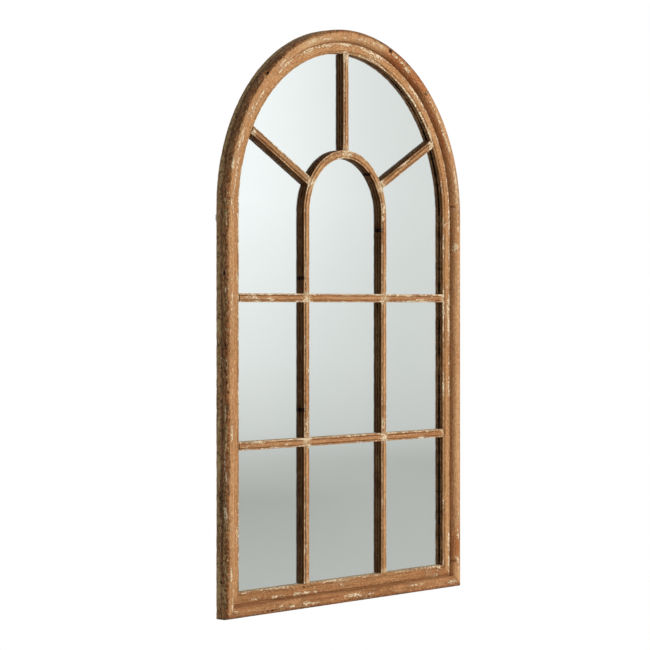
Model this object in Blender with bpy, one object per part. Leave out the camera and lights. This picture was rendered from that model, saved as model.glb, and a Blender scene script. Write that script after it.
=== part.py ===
# Arched wall mirror built like a pane window: a bead moulding and a sash moulding round one sheet
# of mirror glass, with glazing bars in front of it and a screwed board and two D-rings behind it.
# Metres. X runs across the mirror, Z points up and the mirror looks along -Y. The origin is on the
# wall, halfway between the two rings. Every piece hangs on one empty that stands at the middle of the
# bottom edge, level with the front of the glazing bars. Widths called "out" run outward from the lip
# of the sash, and depths run from the front of the bars towards the wall.

import math

import bmesh
import bpy
from mathutils import Matrix

for leftover in list(bpy.data.objects):
    bpy.data.objects.remove(leftover, do_unlink=True)

# Fits
GAP = 0.0003
CUT_OVERRUN = 0.002
WELD_DISTANCE = 0.00001

# Layout of the opening, heights counted from the bottom edge
OPENING_HALF_WIDTH = 0.348
SPRING_HEIGHT = 0.864
INNER_SPRING_DROP = 0.006
LOWER_BAR_HEIGHT = 0.359
UPPER_BAR_HEIGHT = 0.672
BAR_OFFSET = 0.132
SIDE_SPOKE_ANGLE = math.radians(29.0)

# Glazing bars
BAR_WIDTH = 0.0185
BAR_DEPTH = 0.0117
BAR_STRIP_WIDTH = 0.004
STRIP_DROP = 0.0014
STRIP_SLOPE = 0.0006
TENON_WIDTH = 0.0095
TENON_THICKNESS = 0.004
TENON_LENGTH = 0.005

# Sash moulding
SASH_WIDTH = 0.024
SASH_STRIP_WIDTH = 0.006
SASH_ARRIS = 0.0008
GLASS_OVERLAP = 0.012
GLASS_PLAY = 0.0005

# Bead moulding
BEAD_WIDTH = 0.0277
BEAD_CREST_OUT = 0.0137
BEAD_PROUD = 0.014
INNER_FLANK_RISE = 0.003
OUTER_SIDE_RISE = 0.006
VALLEY_WIDTH = 0.0027
VALLEY_DEPTH = 0.003
VALLEY_FLOOR_FALL = 0.001

# Glass and back
GLASS_THICKNESS = 0.003
PACKING_THICKNESS = 0.0032
BOARD_THICKNESS = 0.003
BOARD_REVEAL = 0.001

# Arch joints, those of the sash as shares of the half circle
OUTER_JOINT_LIFT_ANGLE = math.radians(2.4)
OUTER_ARCH_PIECES = 4
SASH_JOINT_DROP = 0.015
SASH_JOINT_SHARES = (0.236, 0.478, 0.764)
ARCH_STEPS = 16
ROUNDING_STEPS = 6
SMOOTH_ANGLE = math.radians(32)

# Splines in the outer joints
SPLINE_LENGTH = 0.018
SPLINE_THICKNESS = 0.003
SPLINE_WALL = 0.003

# Board screws, their places as shares of the half circle, the half width or the height to the spring
BOARD_SCREW_HEAD_RADIUS = 0.0032
BOARD_SCREW_HEAD_HEIGHT = 0.0018
BOARD_SCREW_RADIUS = 0.0015
BOARD_SCREW_LENGTH = 0.014
BOARD_SCREW_POINT = 0.003
BOARD_SCREW_STILE_SHARES = (0.11, 0.45, 0.79)
BOARD_SCREW_RAIL_SHARES = (-0.6, 0.0, 0.6)
BOARD_SCREW_ARCH_SHARES = (0.11, 0.35, 0.65, 0.89)
TURNED_SIDES = 12

# Hangers
PIVOT_DROP = 0.018
STRAP_WIDTH = 0.014
STRAP_THICKNESS = 0.0012
STRAP_FOOT = 0.007
STRAP_CURL_ANGLE = math.radians(250.0)
STRAP_CURL_STEPS = 12
RING_WIRE_RADIUS = 0.0015
RING_SIDE_PLAY = 0.002
RING_LEG = 0.006
RING_CORNER_RADIUS = 0.0025
RING_BOW_STEPS = 16
RING_CORNER_STEPS = 3
RING_SCREW_CLEARANCE = 0.001
HANGER_SCREW_PITCH = 0.011
HANGER_SCREW_HEAD_RADIUS = 0.0032
HANGER_SCREW_HEAD_HEIGHT = 0.0018
HANGER_SCREW_HEAD_EDGE = 0.0008
HANGER_SCREW_RADIUS = 0.0016
HANGER_SCREW_LENGTH = 0.018
HANGER_SCREW_POINT = 0.003

# Bumpers
BUMPER_RADIUS = 0.006
BUMPER_EDGE = 0.001
BUMPER_MITRE_CLEARANCE = 0.006
BUMPER_SIDES = 16
WALL_CLEARANCE = 0.0002

# Places worked out from the sizes above
frame_width = SASH_WIDTH + GAP + BEAD_WIDTH
lip_height = frame_width
bead_start = SASH_WIDTH + GAP
bead_middle = bead_start + BEAD_WIDTH / 2
half_bar = BAR_WIDTH / 2
glass_front = BAR_DEPTH + GAP
glass_back = glass_front + GLASS_THICKNESS
packing_front = glass_back + GAP
frame_back = packing_front + PACKING_THICKNESS
board_front = frame_back + GAP
board_back = board_front + BOARD_THICKNESS
strap_front = frame_back + GAP
strap_back = strap_front + STRAP_THICKNESS
rebate_out = GLASS_OVERLAP + GLASS_PLAY
sash_leg_middle = (rebate_out + SASH_WIDTH) / 2
lap_depth = BAR_DEPTH / 2
tenon_depth = (STRIP_DROP + STRIP_SLOPE + BAR_DEPTH) / 2
spline_depth = (VALLEY_DEPTH + VALLEY_FLOOR_FALL + frame_back) / 2
spline_width = 2 * math.sqrt(2) * (BEAD_WIDTH / 2 - SPLINE_WALL) - SPLINE_LENGTH
inner_spring_height = SPRING_HEIGHT - INNER_SPRING_DROP
pivot_height = SPRING_HEIGHT - PIVOT_DROP
curl_inside = RING_WIRE_RADIUS + GAP
curl_outside = curl_inside + STRAP_THICKNESS
pivot_depth = strap_front + curl_outside
bumper_thickness = 2 * curl_outside + WALL_CLEARANCE
bumper_height = lip_height - bead_middle + math.sqrt(2) * (BUMPER_RADIUS + BUMPER_MITRE_CLEARANCE)
wall_depth = frame_back + GAP + bumper_thickness
ring_half_width = STRAP_WIDTH / 2 + RING_SIDE_PLAY + RING_WIRE_RADIUS
ring_reach = RING_CORNER_RADIUS + RING_LEG + ring_half_width + RING_WIRE_RADIUS
upper_screw_drop = ring_reach + RING_SCREW_CLEARANCE + HANGER_SCREW_HEAD_RADIUS
lower_screw_drop = upper_screw_drop + HANGER_SCREW_PITCH
strap_length = lower_screw_drop + STRAP_FOOT
mitre_setback = GAP / 2 * math.sqrt(2)

FACING_BACK = (-math.pi / 2, 0, 0)
root = bpy.data.objects.new("hanging_line", None)
root.location = (0, -wall_depth, -pivot_height)
bpy.context.scene.collection.objects.link(root)


def finish(name, colour, roughness, metallic=0.0):
    """A plain Principled finish for one sub-part."""
    made = bpy.data.materials.new(name)
    made.use_nodes = True
    shader = made.node_tree.nodes["Principled BSDF"]
    shader.inputs["Base Color"].default_value = (*colour, 1)
    shader.inputs["Roughness"].default_value = roughness
    shader.inputs["Metallic"].default_value = metallic
    return made


outer_wood = finish("outer_wood", (0.36, 0.19, 0.09), 0.72)
sash_wood = finish("sash_wood", (0.45, 0.25, 0.12), 0.7)
bar_wood = finish("bar_wood", (0.43, 0.24, 0.12), 0.7)
spline_wood = finish("spline_wood", (0.55, 0.38, 0.22), 0.8)
mirror = finish("mirror", (0.9, 0.92, 0.91), 0.03, 1.0)
card = finish("packing_card", (0.42, 0.29, 0.17), 0.95)
board = finish("board", (0.3, 0.2, 0.11), 0.85)
screw_steel = finish("screw_steel", (0.55, 0.5, 0.36), 0.4, 1.0)
hanger_steel = finish("hanger_steel", (0.6, 0.6, 0.58), 0.35, 1.0)
bumper_rubber = finish("bumper_rubber", (0.05, 0.05, 0.05), 0.8)


def place(name, data, surface, location=(0, 0, 0), rotation=(0, 0, 0)):
    """One named object on the empty."""
    piece = bpy.data.objects.new(name, data)
    piece.location = location
    piece.rotation_euler = rotation
    piece.parent = root
    if not data.materials:
        data.materials.append(surface)
    bpy.context.scene.collection.objects.link(piece)
    return piece


def mesh_from(bm, name, smooth_angle=None):
    """Close a bmesh into a mesh with its faces pointing out."""
    bmesh.ops.recalc_face_normals(bm, faces=bm.faces)
    data = bpy.data.meshes.new(name)
    bm.to_mesh(data)
    bm.free()
    if smooth_angle is not None:
        data.shade_smooth()
        data.set_sharp_from_angle(angle=smooth_angle)
    return data


def prism(name, outline, reach, smooth_angle=None):
    """An outline pulled straight along a vector."""
    bm = bmesh.new()
    face = bm.faces.new([bm.verts.new(corner) for corner in outline])
    grown = bmesh.ops.extrude_face_region(bm, geom=[face])["geom"]
    far = [item for item in grown if isinstance(item, bmesh.types.BMVert)]
    bmesh.ops.translate(bm, vec=reach, verts=far)
    return mesh_from(bm, name, smooth_angle)


def block(name, size):
    """A block of the given size about its own middle."""
    bm = bmesh.new()
    bmesh.ops.create_cube(bm, size=1, matrix=Matrix.Diagonal((*size, 1)))
    return mesh_from(bm, name)


def turned(name, profile, sides):
    """A profile of (radius, height) points spun about Z, closed at both poles."""
    bm = bmesh.new()
    verts = [bm.verts.new((radius, 0, height)) for radius, height in profile]
    edges = [bm.edges.new(pair) for pair in zip(verts, verts[1:])]
    bmesh.ops.spin(bm, geom=verts + edges, axis=(0, 0, 1), angle=2 * math.pi, steps=sides)
    bmesh.ops.remove_doubles(bm, verts=bm.verts, dist=WELD_DISTANCE)
    return mesh_from(bm, name, SMOOTH_ANGLE)


def shape(name, data, location=(0, 0, 0), rotation=(0, 0, 0), carrier=root):
    """A shape that is no piece itself, only cut out of pieces or joined to them."""
    tool = bpy.data.objects.new(name, data)
    tool.location = location
    tool.rotation_euler = rotation
    tool.parent = carrier
    tool.hide_render = True
    tool.display_type = "WIRE"
    bpy.context.scene.collection.objects.link(tool)
    return tool


def combine(piece, tool, operation):
    """Join the tool's shape to the piece (UNION) or take it out of the piece (DIFFERENCE)."""
    boolean = piece.modifiers.new(tool.name, "BOOLEAN")
    boolean.operation = operation
    boolean.solver = "EXACT"
    boolean.object = tool


def cut(pieces, tool):
    for piece in pieces:
        combine(piece, tool, "DIFFERENCE")


# Cuts across a moulding, each a rule that turns a width "out" into a place (x, z)
def level_cut(side, height):
    return lambda out: (side * (OPENING_HALF_WIDTH + out), height)


def stile_mitre(side):
    return lambda out: (side * (OPENING_HALF_WIDTH + out), lip_height - out + mitre_setback)


def rail_mitre(side):
    return lambda out: (side * (OPENING_HALF_WIDTH + out - mitre_setback), lip_height - out)


def radial_cut(angle, setback=0.0, radius=OPENING_HALF_WIDTH, centre=SPRING_HEIGHT):
    """A cut that points at the arch's centre, moved along the arch by the setback."""
    def place_of(out):
        reach = radius + out
        x = reach * math.cos(angle) - setback * math.sin(angle)
        z = centre + reach * math.sin(angle) + setback * math.cos(angle)
        return x, z
    return place_of


def arch_cuts(start, end, start_setback=GAP / 2, end_setback=-GAP / 2, **arch):
    """Cuts along a stretch of arch, with half a gap left free at either end."""
    step = (end - start) / ARCH_STEPS
    cuts = [radial_cut(start, start_setback, **arch)]
    cuts += [radial_cut(start + step * i, **arch) for i in range(1, ARCH_STEPS)]
    cuts.append(radial_cut(end, end_setback, **arch))
    return cuts


def moulding(name, section, cuts, surface):
    """A length of moulding: its section carried from cut to cut, closed at both ends."""
    bm = bmesh.new()
    rings = []
    for place_of in cuts:
        spots = [(place_of(out), depth) for out, depth in section]
        rings.append([bm.verts.new((x, depth, z)) for (x, z), depth in spots])
    for near, far in zip(rings, rings[1:]):
        for i in range(len(section)):
            bm.faces.new((near[i - 1], near[i], far[i], far[i - 1]))
    bm.faces.new(rings[0])
    bm.faces.new(rings[-1])
    return place(name, mesh_from(bm, name, SMOOTH_ANGLE), surface)


def rounding(centre_out, centre_depth, reach_out, reach_depth, start, end):
    """Points on a quarter of an ellipse, for the rounded parts of a section."""
    points = []
    for i in range(ROUNDING_STEPS + 1):
        turn = start + (end - start) * i / ROUNDING_STEPS
        out = centre_out + reach_out * math.cos(turn)
        points.append((out, centre_depth - reach_depth * math.sin(turn)))
    return points


# Outer moulding: a bead with a steep inner flank, a valley beside the sash and a square outer side
def bead_section():
    edge = bead_start + BEAD_WIDTH
    crest = bead_start + BEAD_CREST_OUT
    flank = bead_start + VALLEY_WIDTH
    inner_rise = BEAD_PROUD - INNER_FLANK_RISE
    outer_rise = BEAD_PROUD - OUTER_SIDE_RISE
    points = [(edge, frame_back), (bead_start, frame_back)]
    points += [(bead_start, VALLEY_DEPTH + VALLEY_FLOOR_FALL), (flank, VALLEY_DEPTH)]
    points += rounding(crest, -INNER_FLANK_RISE, crest - flank, inner_rise, math.pi, math.pi / 2)
    points += rounding(crest, -OUTER_SIDE_RISE, edge - crest, outer_rise, math.pi / 2, 0)[1:]
    return points


bead = bead_section()
outer_span = math.pi - 2 * OUTER_JOINT_LIFT_ANGLE
outer_joints = [
    OUTER_JOINT_LIFT_ANGLE + outer_span * i / OUTER_ARCH_PIECES for i in range(OUTER_ARCH_PIECES + 1)
]
outer = {}
for side, word, joint in ((-1, "left", outer_joints[-1]), (1, "right", outer_joints[0])):
    name = f"outer_stile_{word}"
    cuts = [stile_mitre(side), level_cut(side, SPRING_HEIGHT), radial_cut(joint, -side * GAP / 2)]
    outer[name] = moulding(name, bead, cuts, outer_wood)
cuts = [rail_mitre(-1), rail_mitre(1)]
outer["outer_rail_bottom"] = moulding("outer_rail_bottom", bead, cuts, outer_wood)
for number, (start, end) in enumerate(zip(outer_joints, outer_joints[1:]), 1):
    name = f"outer_arch_{number}"
    outer[name] = moulding(name, bead, arch_cuts(start, end), outer_wood)

# Sash moulding: a flat face, a lowered strip beside the opening and a rebate for the glass behind it
sash_section = [
    (0, BAR_DEPTH),
    (0, STRIP_DROP + STRIP_SLOPE),
    (SASH_STRIP_WIDTH, STRIP_DROP),
    (SASH_STRIP_WIDTH, 0),
    (SASH_WIDTH - SASH_ARRIS, 0),
    (SASH_WIDTH, SASH_ARRIS),
    (SASH_WIDTH, frame_back),
    (rebate_out, frame_back),
    (rebate_out, BAR_DEPTH),
]
sash_joint_height = SPRING_HEIGHT - SASH_JOINT_DROP
sash_stiles = []
for side, word in ((-1, "left"), (1, "right")):
    cuts = [stile_mitre(side), level_cut(side, sash_joint_height - GAP / 2)]
    sash_stiles.append(moulding(f"sash_stile_{word}", sash_section, cuts, sash_wood))
cuts = [rail_mitre(-1), rail_mitre(1)]
sash_rail = moulding("sash_rail_bottom", sash_section, cuts, sash_wood)

# The sash's arch, whose first and last pieces run on down to the stiles
sash_ends = [0, *(share * math.pi for share in SASH_JOINT_SHARES), math.pi]
sash_cuts = [arch_cuts(start, end) for start, end in zip(sash_ends, sash_ends[1:])]
sash_cuts[0][0] = radial_cut(0)
sash_cuts[0].insert(0, level_cut(1, sash_joint_height + GAP / 2))
sash_cuts[-1][-1] = radial_cut(math.pi)
sash_cuts[-1].append(level_cut(-1, sash_joint_height + GAP / 2))
sash_arch = [
    moulding(f"sash_arch_{number}", sash_section, cuts, sash_wood)
    for number, cuts in enumerate(sash_cuts, 1)
]

# Glazing bars: a raised middle, a lowered strip along both edges and a stub tenon on each end
bar_section = [
    (-half_bar, BAR_DEPTH),
    (-half_bar, STRIP_DROP + STRIP_SLOPE),
    (BAR_STRIP_WIDTH - half_bar, STRIP_DROP),
    (BAR_STRIP_WIDTH - half_bar, 0),
    (half_bar - BAR_STRIP_WIDTH, 0),
    (half_bar - BAR_STRIP_WIDTH, STRIP_DROP),
    (half_bar, STRIP_DROP + STRIP_SLOPE),
    (half_bar, BAR_DEPTH),
]
tenon_size = (TENON_WIDTH, TENON_THICKNESS, 2 * TENON_LENGTH)
tenon = block("tenon", tenon_size)
mortise = block("mortise", [size + 2 * GAP for size in tenon_size])


def bar(name, start, end, location, turn):
    """A straight bar along its own Z from start to end, turned about Y."""
    foot = [(across, depth, start) for across, depth in bar_section]
    data = prism(name, foot, (0, 0, end - start))
    return place(name, data, bar_wood, location, (0, turn, 0))


def let_in(piece, end, hosts):
    """A stub tenon on a bar's end, and its mortise in the pieces that take it."""
    seat = (0, tenon_depth, end)
    combine(piece, shape(f"tenon_{piece.name}", tenon, seat, carrier=piece), "UNION")
    cut(hosts, shape(f"mortise_{piece.name}", mortise, seat, carrier=piece))


# Inner arch in two halves that meet under the middle spoke
inner_arch = {"radius": BAR_OFFSET, "centre": inner_spring_height}
inner_right = moulding(
    "inner_arch_right", bar_section, arch_cuts(0, math.pi / 2, **inner_arch), bar_wood
)
inner_left = moulding(
    "inner_arch_left", bar_section, arch_cuts(math.pi / 2, math.pi, **inner_arch), bar_wood
)

# Cross bars from stile to stile, and upright bars from the rail to the feet of the inner arch
bar_reach = OPENING_HALF_WIDTH - GAP
cross_bars = []
for word, height in (("lower", LOWER_BAR_HEIGHT), ("upper", UPPER_BAR_HEIGHT)):
    piece = bar(f"bar_cross_{word}", -bar_reach, bar_reach, (0, 0, height), math.pi / 2)
    let_in(piece, -bar_reach, [sash_stiles[0]])
    let_in(piece, bar_reach, [sash_stiles[1]])
    cross_bars.append(piece)
upright_bars = []
for side, word, half_arch in ((-1, "left", inner_left), (1, "right", inner_right)):
    foot = lip_height + GAP
    head = inner_spring_height - GAP / 2
    piece = bar(f"bar_upright_{word}", foot, head, (side * BAR_OFFSET, 0, 0), 0)
    let_in(piece, foot, [sash_rail])
    let_in(piece, head, [half_arch])
    upright_bars.append(piece)

# Half laps where the bars cross: cross bars run through in front, upright bars behind
front_notch_depth = lap_depth + GAP / 2 + CUT_OVERRUN
back_notch_depth = BAR_DEPTH - lap_depth + GAP / 2 + CUT_OVERRUN
front_notch = block("front_notch", (BAR_WIDTH + 2 * CUT_OVERRUN, front_notch_depth, BAR_WIDTH + 2 * GAP))
back_notch = block("back_notch", (BAR_WIDTH + 2 * GAP, back_notch_depth, BAR_WIDTH + 2 * CUT_OVERRUN))
front_notch_middle = front_notch_depth / 2 - CUT_OVERRUN
back_notch_middle = BAR_DEPTH + CUT_OVERRUN - back_notch_depth / 2
for cross in cross_bars:
    for upright in upright_bars:
        x = upright.location.x
        z = cross.location.z
        cut([upright], shape("front_notch", front_notch, (x, front_notch_middle, z)))
        cut([cross], shape("back_notch", back_notch, (x, back_notch_middle, z)))


# Spokes from the inner arch to the sash, pointing at the inner arch's centre
def spoke_reach(angle):
    """How far a spoke runs before a corner of its flat end comes a gap short of the sash."""
    across = INNER_SPRING_DROP * abs(math.cos(angle))
    to_lip = INNER_SPRING_DROP * math.sin(angle) + math.sqrt(OPENING_HALF_WIDTH**2 - across**2)
    hollow = OPENING_HALF_WIDTH - math.sqrt(OPENING_HALF_WIDTH**2 - half_bar**2)
    widest_step = max(end - start for start, end in zip(sash_ends, sash_ends[1:])) / ARCH_STEPS
    flat_hollow = OPENING_HALF_WIDTH * (1 - math.cos(widest_step / 2))
    skew = half_bar * across / OPENING_HALF_WIDTH
    return to_lip - hollow - flat_hollow - skew - GAP


spoke_start = BAR_OFFSET + half_bar + GAP
for word, angle, hosts in (
    ("left", math.pi - SIDE_SPOKE_ANGLE, [inner_left]),
    ("middle", math.pi / 2, [inner_left, inner_right]),
    ("right", SIDE_SPOKE_ANGLE, [inner_right]),
):
    end = spoke_reach(angle)
    place_on_arch = (0, 0, inner_spring_height)
    piece = bar(f"spoke_{word}", spoke_start, end, place_on_arch, math.pi / 2 - angle)
    let_in(piece, spoke_start, hosts)
    let_in(piece, end, sash_arch)


# Sheets behind the bars, all with the arched outline of the opening
def sheet(name, out, front, back, surface):
    """A flat arched sheet whose edge lies "out" from the lip of the sash."""
    reach = OPENING_HALF_WIDTH + out
    foot = lip_height - out
    edge = [(-reach, front, foot), (reach, front, foot)]
    steps = OUTER_ARCH_PIECES * ARCH_STEPS
    for i in range(steps + 1):
        turn = math.pi * i / steps
        edge.append((reach * math.cos(turn), front, SPRING_HEIGHT + reach * math.sin(turn)))
    return place(name, prism(name, edge, (0, back - front, 0)), surface)


sheet("mirror_glass", GLASS_OVERLAP, glass_front, glass_back, mirror)
sheet("packing_sheet", GLASS_OVERLAP, packing_front, frame_back, card)
backing = sheet("backing_board", SASH_WIDTH - BOARD_REVEAL, board_front, board_back, board)

# Splines, each let into both sides of an outer joint and as wide as the mitres allow
spline_size = (spline_width, SPLINE_THICKNESS, SPLINE_LENGTH)
spline = block("spline", spline_size)
slot = block("slot", [size + 2 * GAP for size in spline_size])


def join_with_spline(name, x, z, turn, members):
    """A spline with its width along the joint, and its slot in both members."""
    piece = place(name, spline, spline_wood, (x, spline_depth, z), (0, turn, 0))
    cut([outer[member] for member in members], shape(f"slot_{name}", slot, carrier=piece))


for side, word in ((-1, "left"), (1, "right")):
    corner_x = side * (OPENING_HALF_WIDTH + bead_middle)
    members = (f"outer_stile_{word}", "outer_rail_bottom")
    corner_height = lip_height - bead_middle
    join_with_spline(f"spline_corner_{word}", corner_x, corner_height, side * math.pi / 4, members)
along_arch = [f"outer_arch_{number}" for number in range(1, OUTER_ARCH_PIECES + 1)]
along_arch = ["outer_stile_right", *along_arch, "outer_stile_left"]
for number, angle in enumerate(outer_joints):
    x, z = radial_cut(angle)(bead_middle)
    join_with_spline(f"spline_arch_{number + 1}", x, z, -angle, along_arch[number:number + 2])


# Board screws, countersunk in the board and driven into the sash behind its rebate
def countersunk(play=0.0):
    """Half a countersunk screw from its tip up, the flat of the head at height zero."""
    tip = BOARD_SCREW_LENGTH + play
    shank = BOARD_SCREW_RADIUS + play
    head = BOARD_SCREW_HEAD_RADIUS + play
    return [(0, -tip), (shank, BOARD_SCREW_POINT - tip), (shank, -BOARD_SCREW_HEAD_HEIGHT), (head, 0)]


board_screw = turned("board_screw", [*countersunk(), (0, 0)], TURNED_SIDES)
wider_head = BOARD_SCREW_HEAD_RADIUS + GAP
board_hole_top = [(wider_head, CUT_OVERRUN), (0, CUT_OVERRUN)]
board_hole = turned("board_hole", [*countersunk(GAP), *board_hole_top], TURNED_SIDES)
board_spots = []
for side in (-1, 1):
    for share in BOARD_SCREW_STILE_SHARES:
        height = lip_height + share * (SPRING_HEIGHT - lip_height)
        board_spots.append((side * (OPENING_HALF_WIDTH + sash_leg_middle), height))
for share in BOARD_SCREW_RAIL_SHARES:
    board_spots.append((share * OPENING_HALF_WIDTH, lip_height - sash_leg_middle))
for share in BOARD_SCREW_ARCH_SHARES:
    board_spots.append(radial_cut(share * math.pi)(sash_leg_middle))
all_holes = bmesh.new()
for number, (x, z) in enumerate(board_spots, 1):
    seat = (x, board_back, z)
    piece = place(f"board_screw_{number:02d}", board_screw, screw_steel, seat, FACING_BACK)
    made = len(all_holes.verts)
    all_holes.from_mesh(board_hole)
    all_holes.verts.ensure_lookup_table()
    bmesh.ops.transform(all_holes, matrix=piece.matrix_basis, verts=all_holes.verts[made:])
board_holes = shape("board_holes", mesh_from(all_holes, "board_holes"))
cut([backing, sash_rail, *sash_stiles, *sash_arch], board_holes)


# Strap hangers: a strap curled round the straight leg of a D-ring that hangs below it at rest
def strap_outline():
    """The strap from the side as (depth, height): round the curl, back inside it and down."""
    outside = []
    inside = []
    for i in range(STRAP_CURL_STEPS + 1):
        turn = math.pi - STRAP_CURL_ANGLE * i / STRAP_CURL_STEPS
        across = math.cos(turn)
        up = math.sin(turn)
        outside.append((pivot_depth + curl_outside * across, curl_outside * up))
        inside.append((pivot_depth + curl_inside * across, curl_inside * up))
    return [*outside, *reversed(inside), (strap_back, -strap_length), (strap_front, -strap_length)]


def arc(centre_x, centre_z, radius, start, end, steps):
    """Points on an arc in the ring's own plane, both ends among them."""
    points = []
    for i in range(steps + 1):
        turn = start + (end - start) * i / steps
        points.append((centre_x + radius * math.cos(turn), 0, centre_z + radius * math.sin(turn)))
    return points


def ring_wire():
    """The wire of a D-ring, its straight leg along X through the origin and its bow below."""
    corner_x = ring_half_width - RING_CORNER_RADIUS
    corner = (RING_CORNER_RADIUS, math.pi, math.pi / 2, RING_CORNER_STEPS)
    points = arc(-corner_x, -RING_CORNER_RADIUS, *corner)
    points += [(-x, y, z) for x, y, z in reversed(points)]
    points += arc(0, -RING_CORNER_RADIUS - RING_LEG, ring_half_width, 0, -math.pi, RING_BOW_STEPS)
    data = bpy.data.curves.new("d_ring", "CURVE")
    data.dimensions = "3D"
    data.bevel_depth = RING_WIRE_RADIUS
    data.bevel_resolution = 2
    wire = data.splines.new("POLY")
    wire.points.add(len(points) - 1)
    for knot, spot in zip(wire.points, points):
        knot.co = (*spot, 1)
    wire.use_cyclic_u = True
    return data


def pan_head():
    """Half a pan head screw from its tip up, the seat of the head at height zero."""
    rim = HANGER_SCREW_HEAD_HEIGHT - HANGER_SCREW_HEAD_EDGE
    crown = HANGER_SCREW_HEAD_RADIUS - HANGER_SCREW_HEAD_EDGE
    shank = [(0, -HANGER_SCREW_LENGTH), (HANGER_SCREW_RADIUS, HANGER_SCREW_POINT - HANGER_SCREW_LENGTH)]
    shank.append((HANGER_SCREW_RADIUS, 0))
    head = [(HANGER_SCREW_HEAD_RADIUS, 0), (HANGER_SCREW_HEAD_RADIUS, rim)]
    head += [(crown, HANGER_SCREW_HEAD_HEIGHT), (0, HANGER_SCREW_HEAD_HEIGHT)]
    return shank + head


wider_shank = HANGER_SCREW_RADIUS + GAP
deeper_tip = HANGER_SCREW_LENGTH + GAP
hanger_hole_half = [
    (0, -deeper_tip),
    (wider_shank, HANGER_SCREW_POINT - deeper_tip),
    (wider_shank, CUT_OVERRUN),
    (0, CUT_OVERRUN),
]
hanger_hole = turned("hanger_hole", hanger_hole_half, TURNED_SIDES)
hanger_screw = turned("hanger_screw", pan_head(), TURNED_SIDES)
strap_edge = [(-STRAP_WIDTH / 2, depth, height) for depth, height in strap_outline()]
strap = prism("strap", strap_edge, (STRAP_WIDTH, 0, 0), SMOOTH_ANGLE)
ring = ring_wire()
for side, word in ((-1, "left"), (1, "right")):
    x = side * (OPENING_HALF_WIDTH + bead_middle)
    plate = place(f"hanger_strap_{word}", strap, hanger_steel, (x, 0, pivot_height))
    place(f"hanger_ring_{word}", ring, hanger_steel, (x, pivot_depth, pivot_height))
    for row, drop in (("upper", upper_screw_drop), ("lower", lower_screw_drop)):
        name = f"hanger_screw_{word}_{row}"
        seat = (x, strap_back + GAP, pivot_height - drop)
        piece = place(name, hanger_screw, screw_steel, seat, FACING_BACK)
        hole = shape(f"hole_{name}", hanger_hole, carrier=piece)
        cut([plate, outer[f"outer_stile_{word}"]], hole)

# Bumpers low on the stiles, which keep the foot of the frame as far off the wall as the hangers
bumper_half = [
    (0, 0),
    (BUMPER_RADIUS, 0),
    (BUMPER_RADIUS, bumper_thickness - BUMPER_EDGE),
    (BUMPER_RADIUS - BUMPER_EDGE, bumper_thickness),
    (0, bumper_thickness),
]
bumper = turned("bumper", bumper_half, BUMPER_SIDES)
for side, word in ((-1, "left"), (1, "right")):
    seat = (side * (OPENING_HALF_WIDTH + bead_middle), frame_back + GAP, bumper_height)
    place(f"bumper_{word}", bumper, bumper_rubber, seat, FACING_BACK)
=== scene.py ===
import math
import random

import bmesh
import bpy
from mathutils import Matrix, Vector, noise


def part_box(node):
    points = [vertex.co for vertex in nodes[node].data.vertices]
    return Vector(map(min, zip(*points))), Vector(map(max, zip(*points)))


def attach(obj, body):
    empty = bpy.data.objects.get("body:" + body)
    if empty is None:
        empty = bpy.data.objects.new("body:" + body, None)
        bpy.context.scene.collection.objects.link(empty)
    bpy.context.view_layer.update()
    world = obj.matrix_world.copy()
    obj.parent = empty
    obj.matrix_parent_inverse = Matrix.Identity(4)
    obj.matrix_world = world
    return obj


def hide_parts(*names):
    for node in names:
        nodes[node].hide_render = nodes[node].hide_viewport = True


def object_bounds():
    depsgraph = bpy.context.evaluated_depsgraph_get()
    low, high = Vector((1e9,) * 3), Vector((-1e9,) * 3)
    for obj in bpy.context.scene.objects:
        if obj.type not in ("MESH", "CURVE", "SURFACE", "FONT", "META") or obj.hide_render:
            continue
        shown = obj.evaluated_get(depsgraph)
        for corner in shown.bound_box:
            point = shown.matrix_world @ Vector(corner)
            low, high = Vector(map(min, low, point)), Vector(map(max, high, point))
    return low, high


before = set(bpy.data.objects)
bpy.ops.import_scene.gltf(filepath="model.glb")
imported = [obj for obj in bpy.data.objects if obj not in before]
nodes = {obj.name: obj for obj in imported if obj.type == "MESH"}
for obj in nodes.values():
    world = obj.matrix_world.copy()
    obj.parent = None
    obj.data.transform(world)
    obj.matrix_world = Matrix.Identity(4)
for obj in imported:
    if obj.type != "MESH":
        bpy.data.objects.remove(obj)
cad_box = [list(corner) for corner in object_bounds()]


# Outer moulding
# Three straight lengths and four sawn segments of pine, run with a bead and a narrow valley beside the
# sash, splined end to end, stained brown, painted cream and rubbed back until only specks are left.
MM = 0.001
GLUE_LINE = 0.15 * MM
MITRE_GAP = GLUE_LINE * math.sqrt(2)
RING_STEP = 2.5 * MM
SECTION_STEP = 2.8 * MM
EASING = 0.5 * MM
ON_THE_CUT = 1e-7
SHARP = math.radians(33)
CREST_IN = 13.7 * MM
CREST_FALL_OUT = 8 * MM
CREST_FALL_IN = 11 * MM
VALLEY_WIDTH = 2.7 * MM
VALLEY_DEPTH = 3 * MM
VALLEY_FALL = 1 * MM
QUARTER_STEPS = 11
BEAD_ROUNDED = (0, 1)
OUTER_JOINTS = [math.radians(2.4 + 43.8 * i) for i in range(5)]
MOST_PAINT = 0.505
DENT_DEPTH = 1.1 * MM
UNEVENNESS = 0.22 * MM
SIDE_FROM = 42 * MM
SIDE_FULL = 46.8 * MM
SIDE_LINE = 68 * MM
SIDE_END = 84.5 * MM

outer_low, outer_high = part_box("outer_stile_right")
sash_low, sash_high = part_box("sash_stile_right")
bead_in = outer_low[0]
bead_out = outer_high[0]
crest = outer_low[1]
back = outer_high[1]
foot = outer_low[2]
lip = sash_low[0]
face = sash_low[1]
spring = cad_box[1][2] - bead_out


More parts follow.
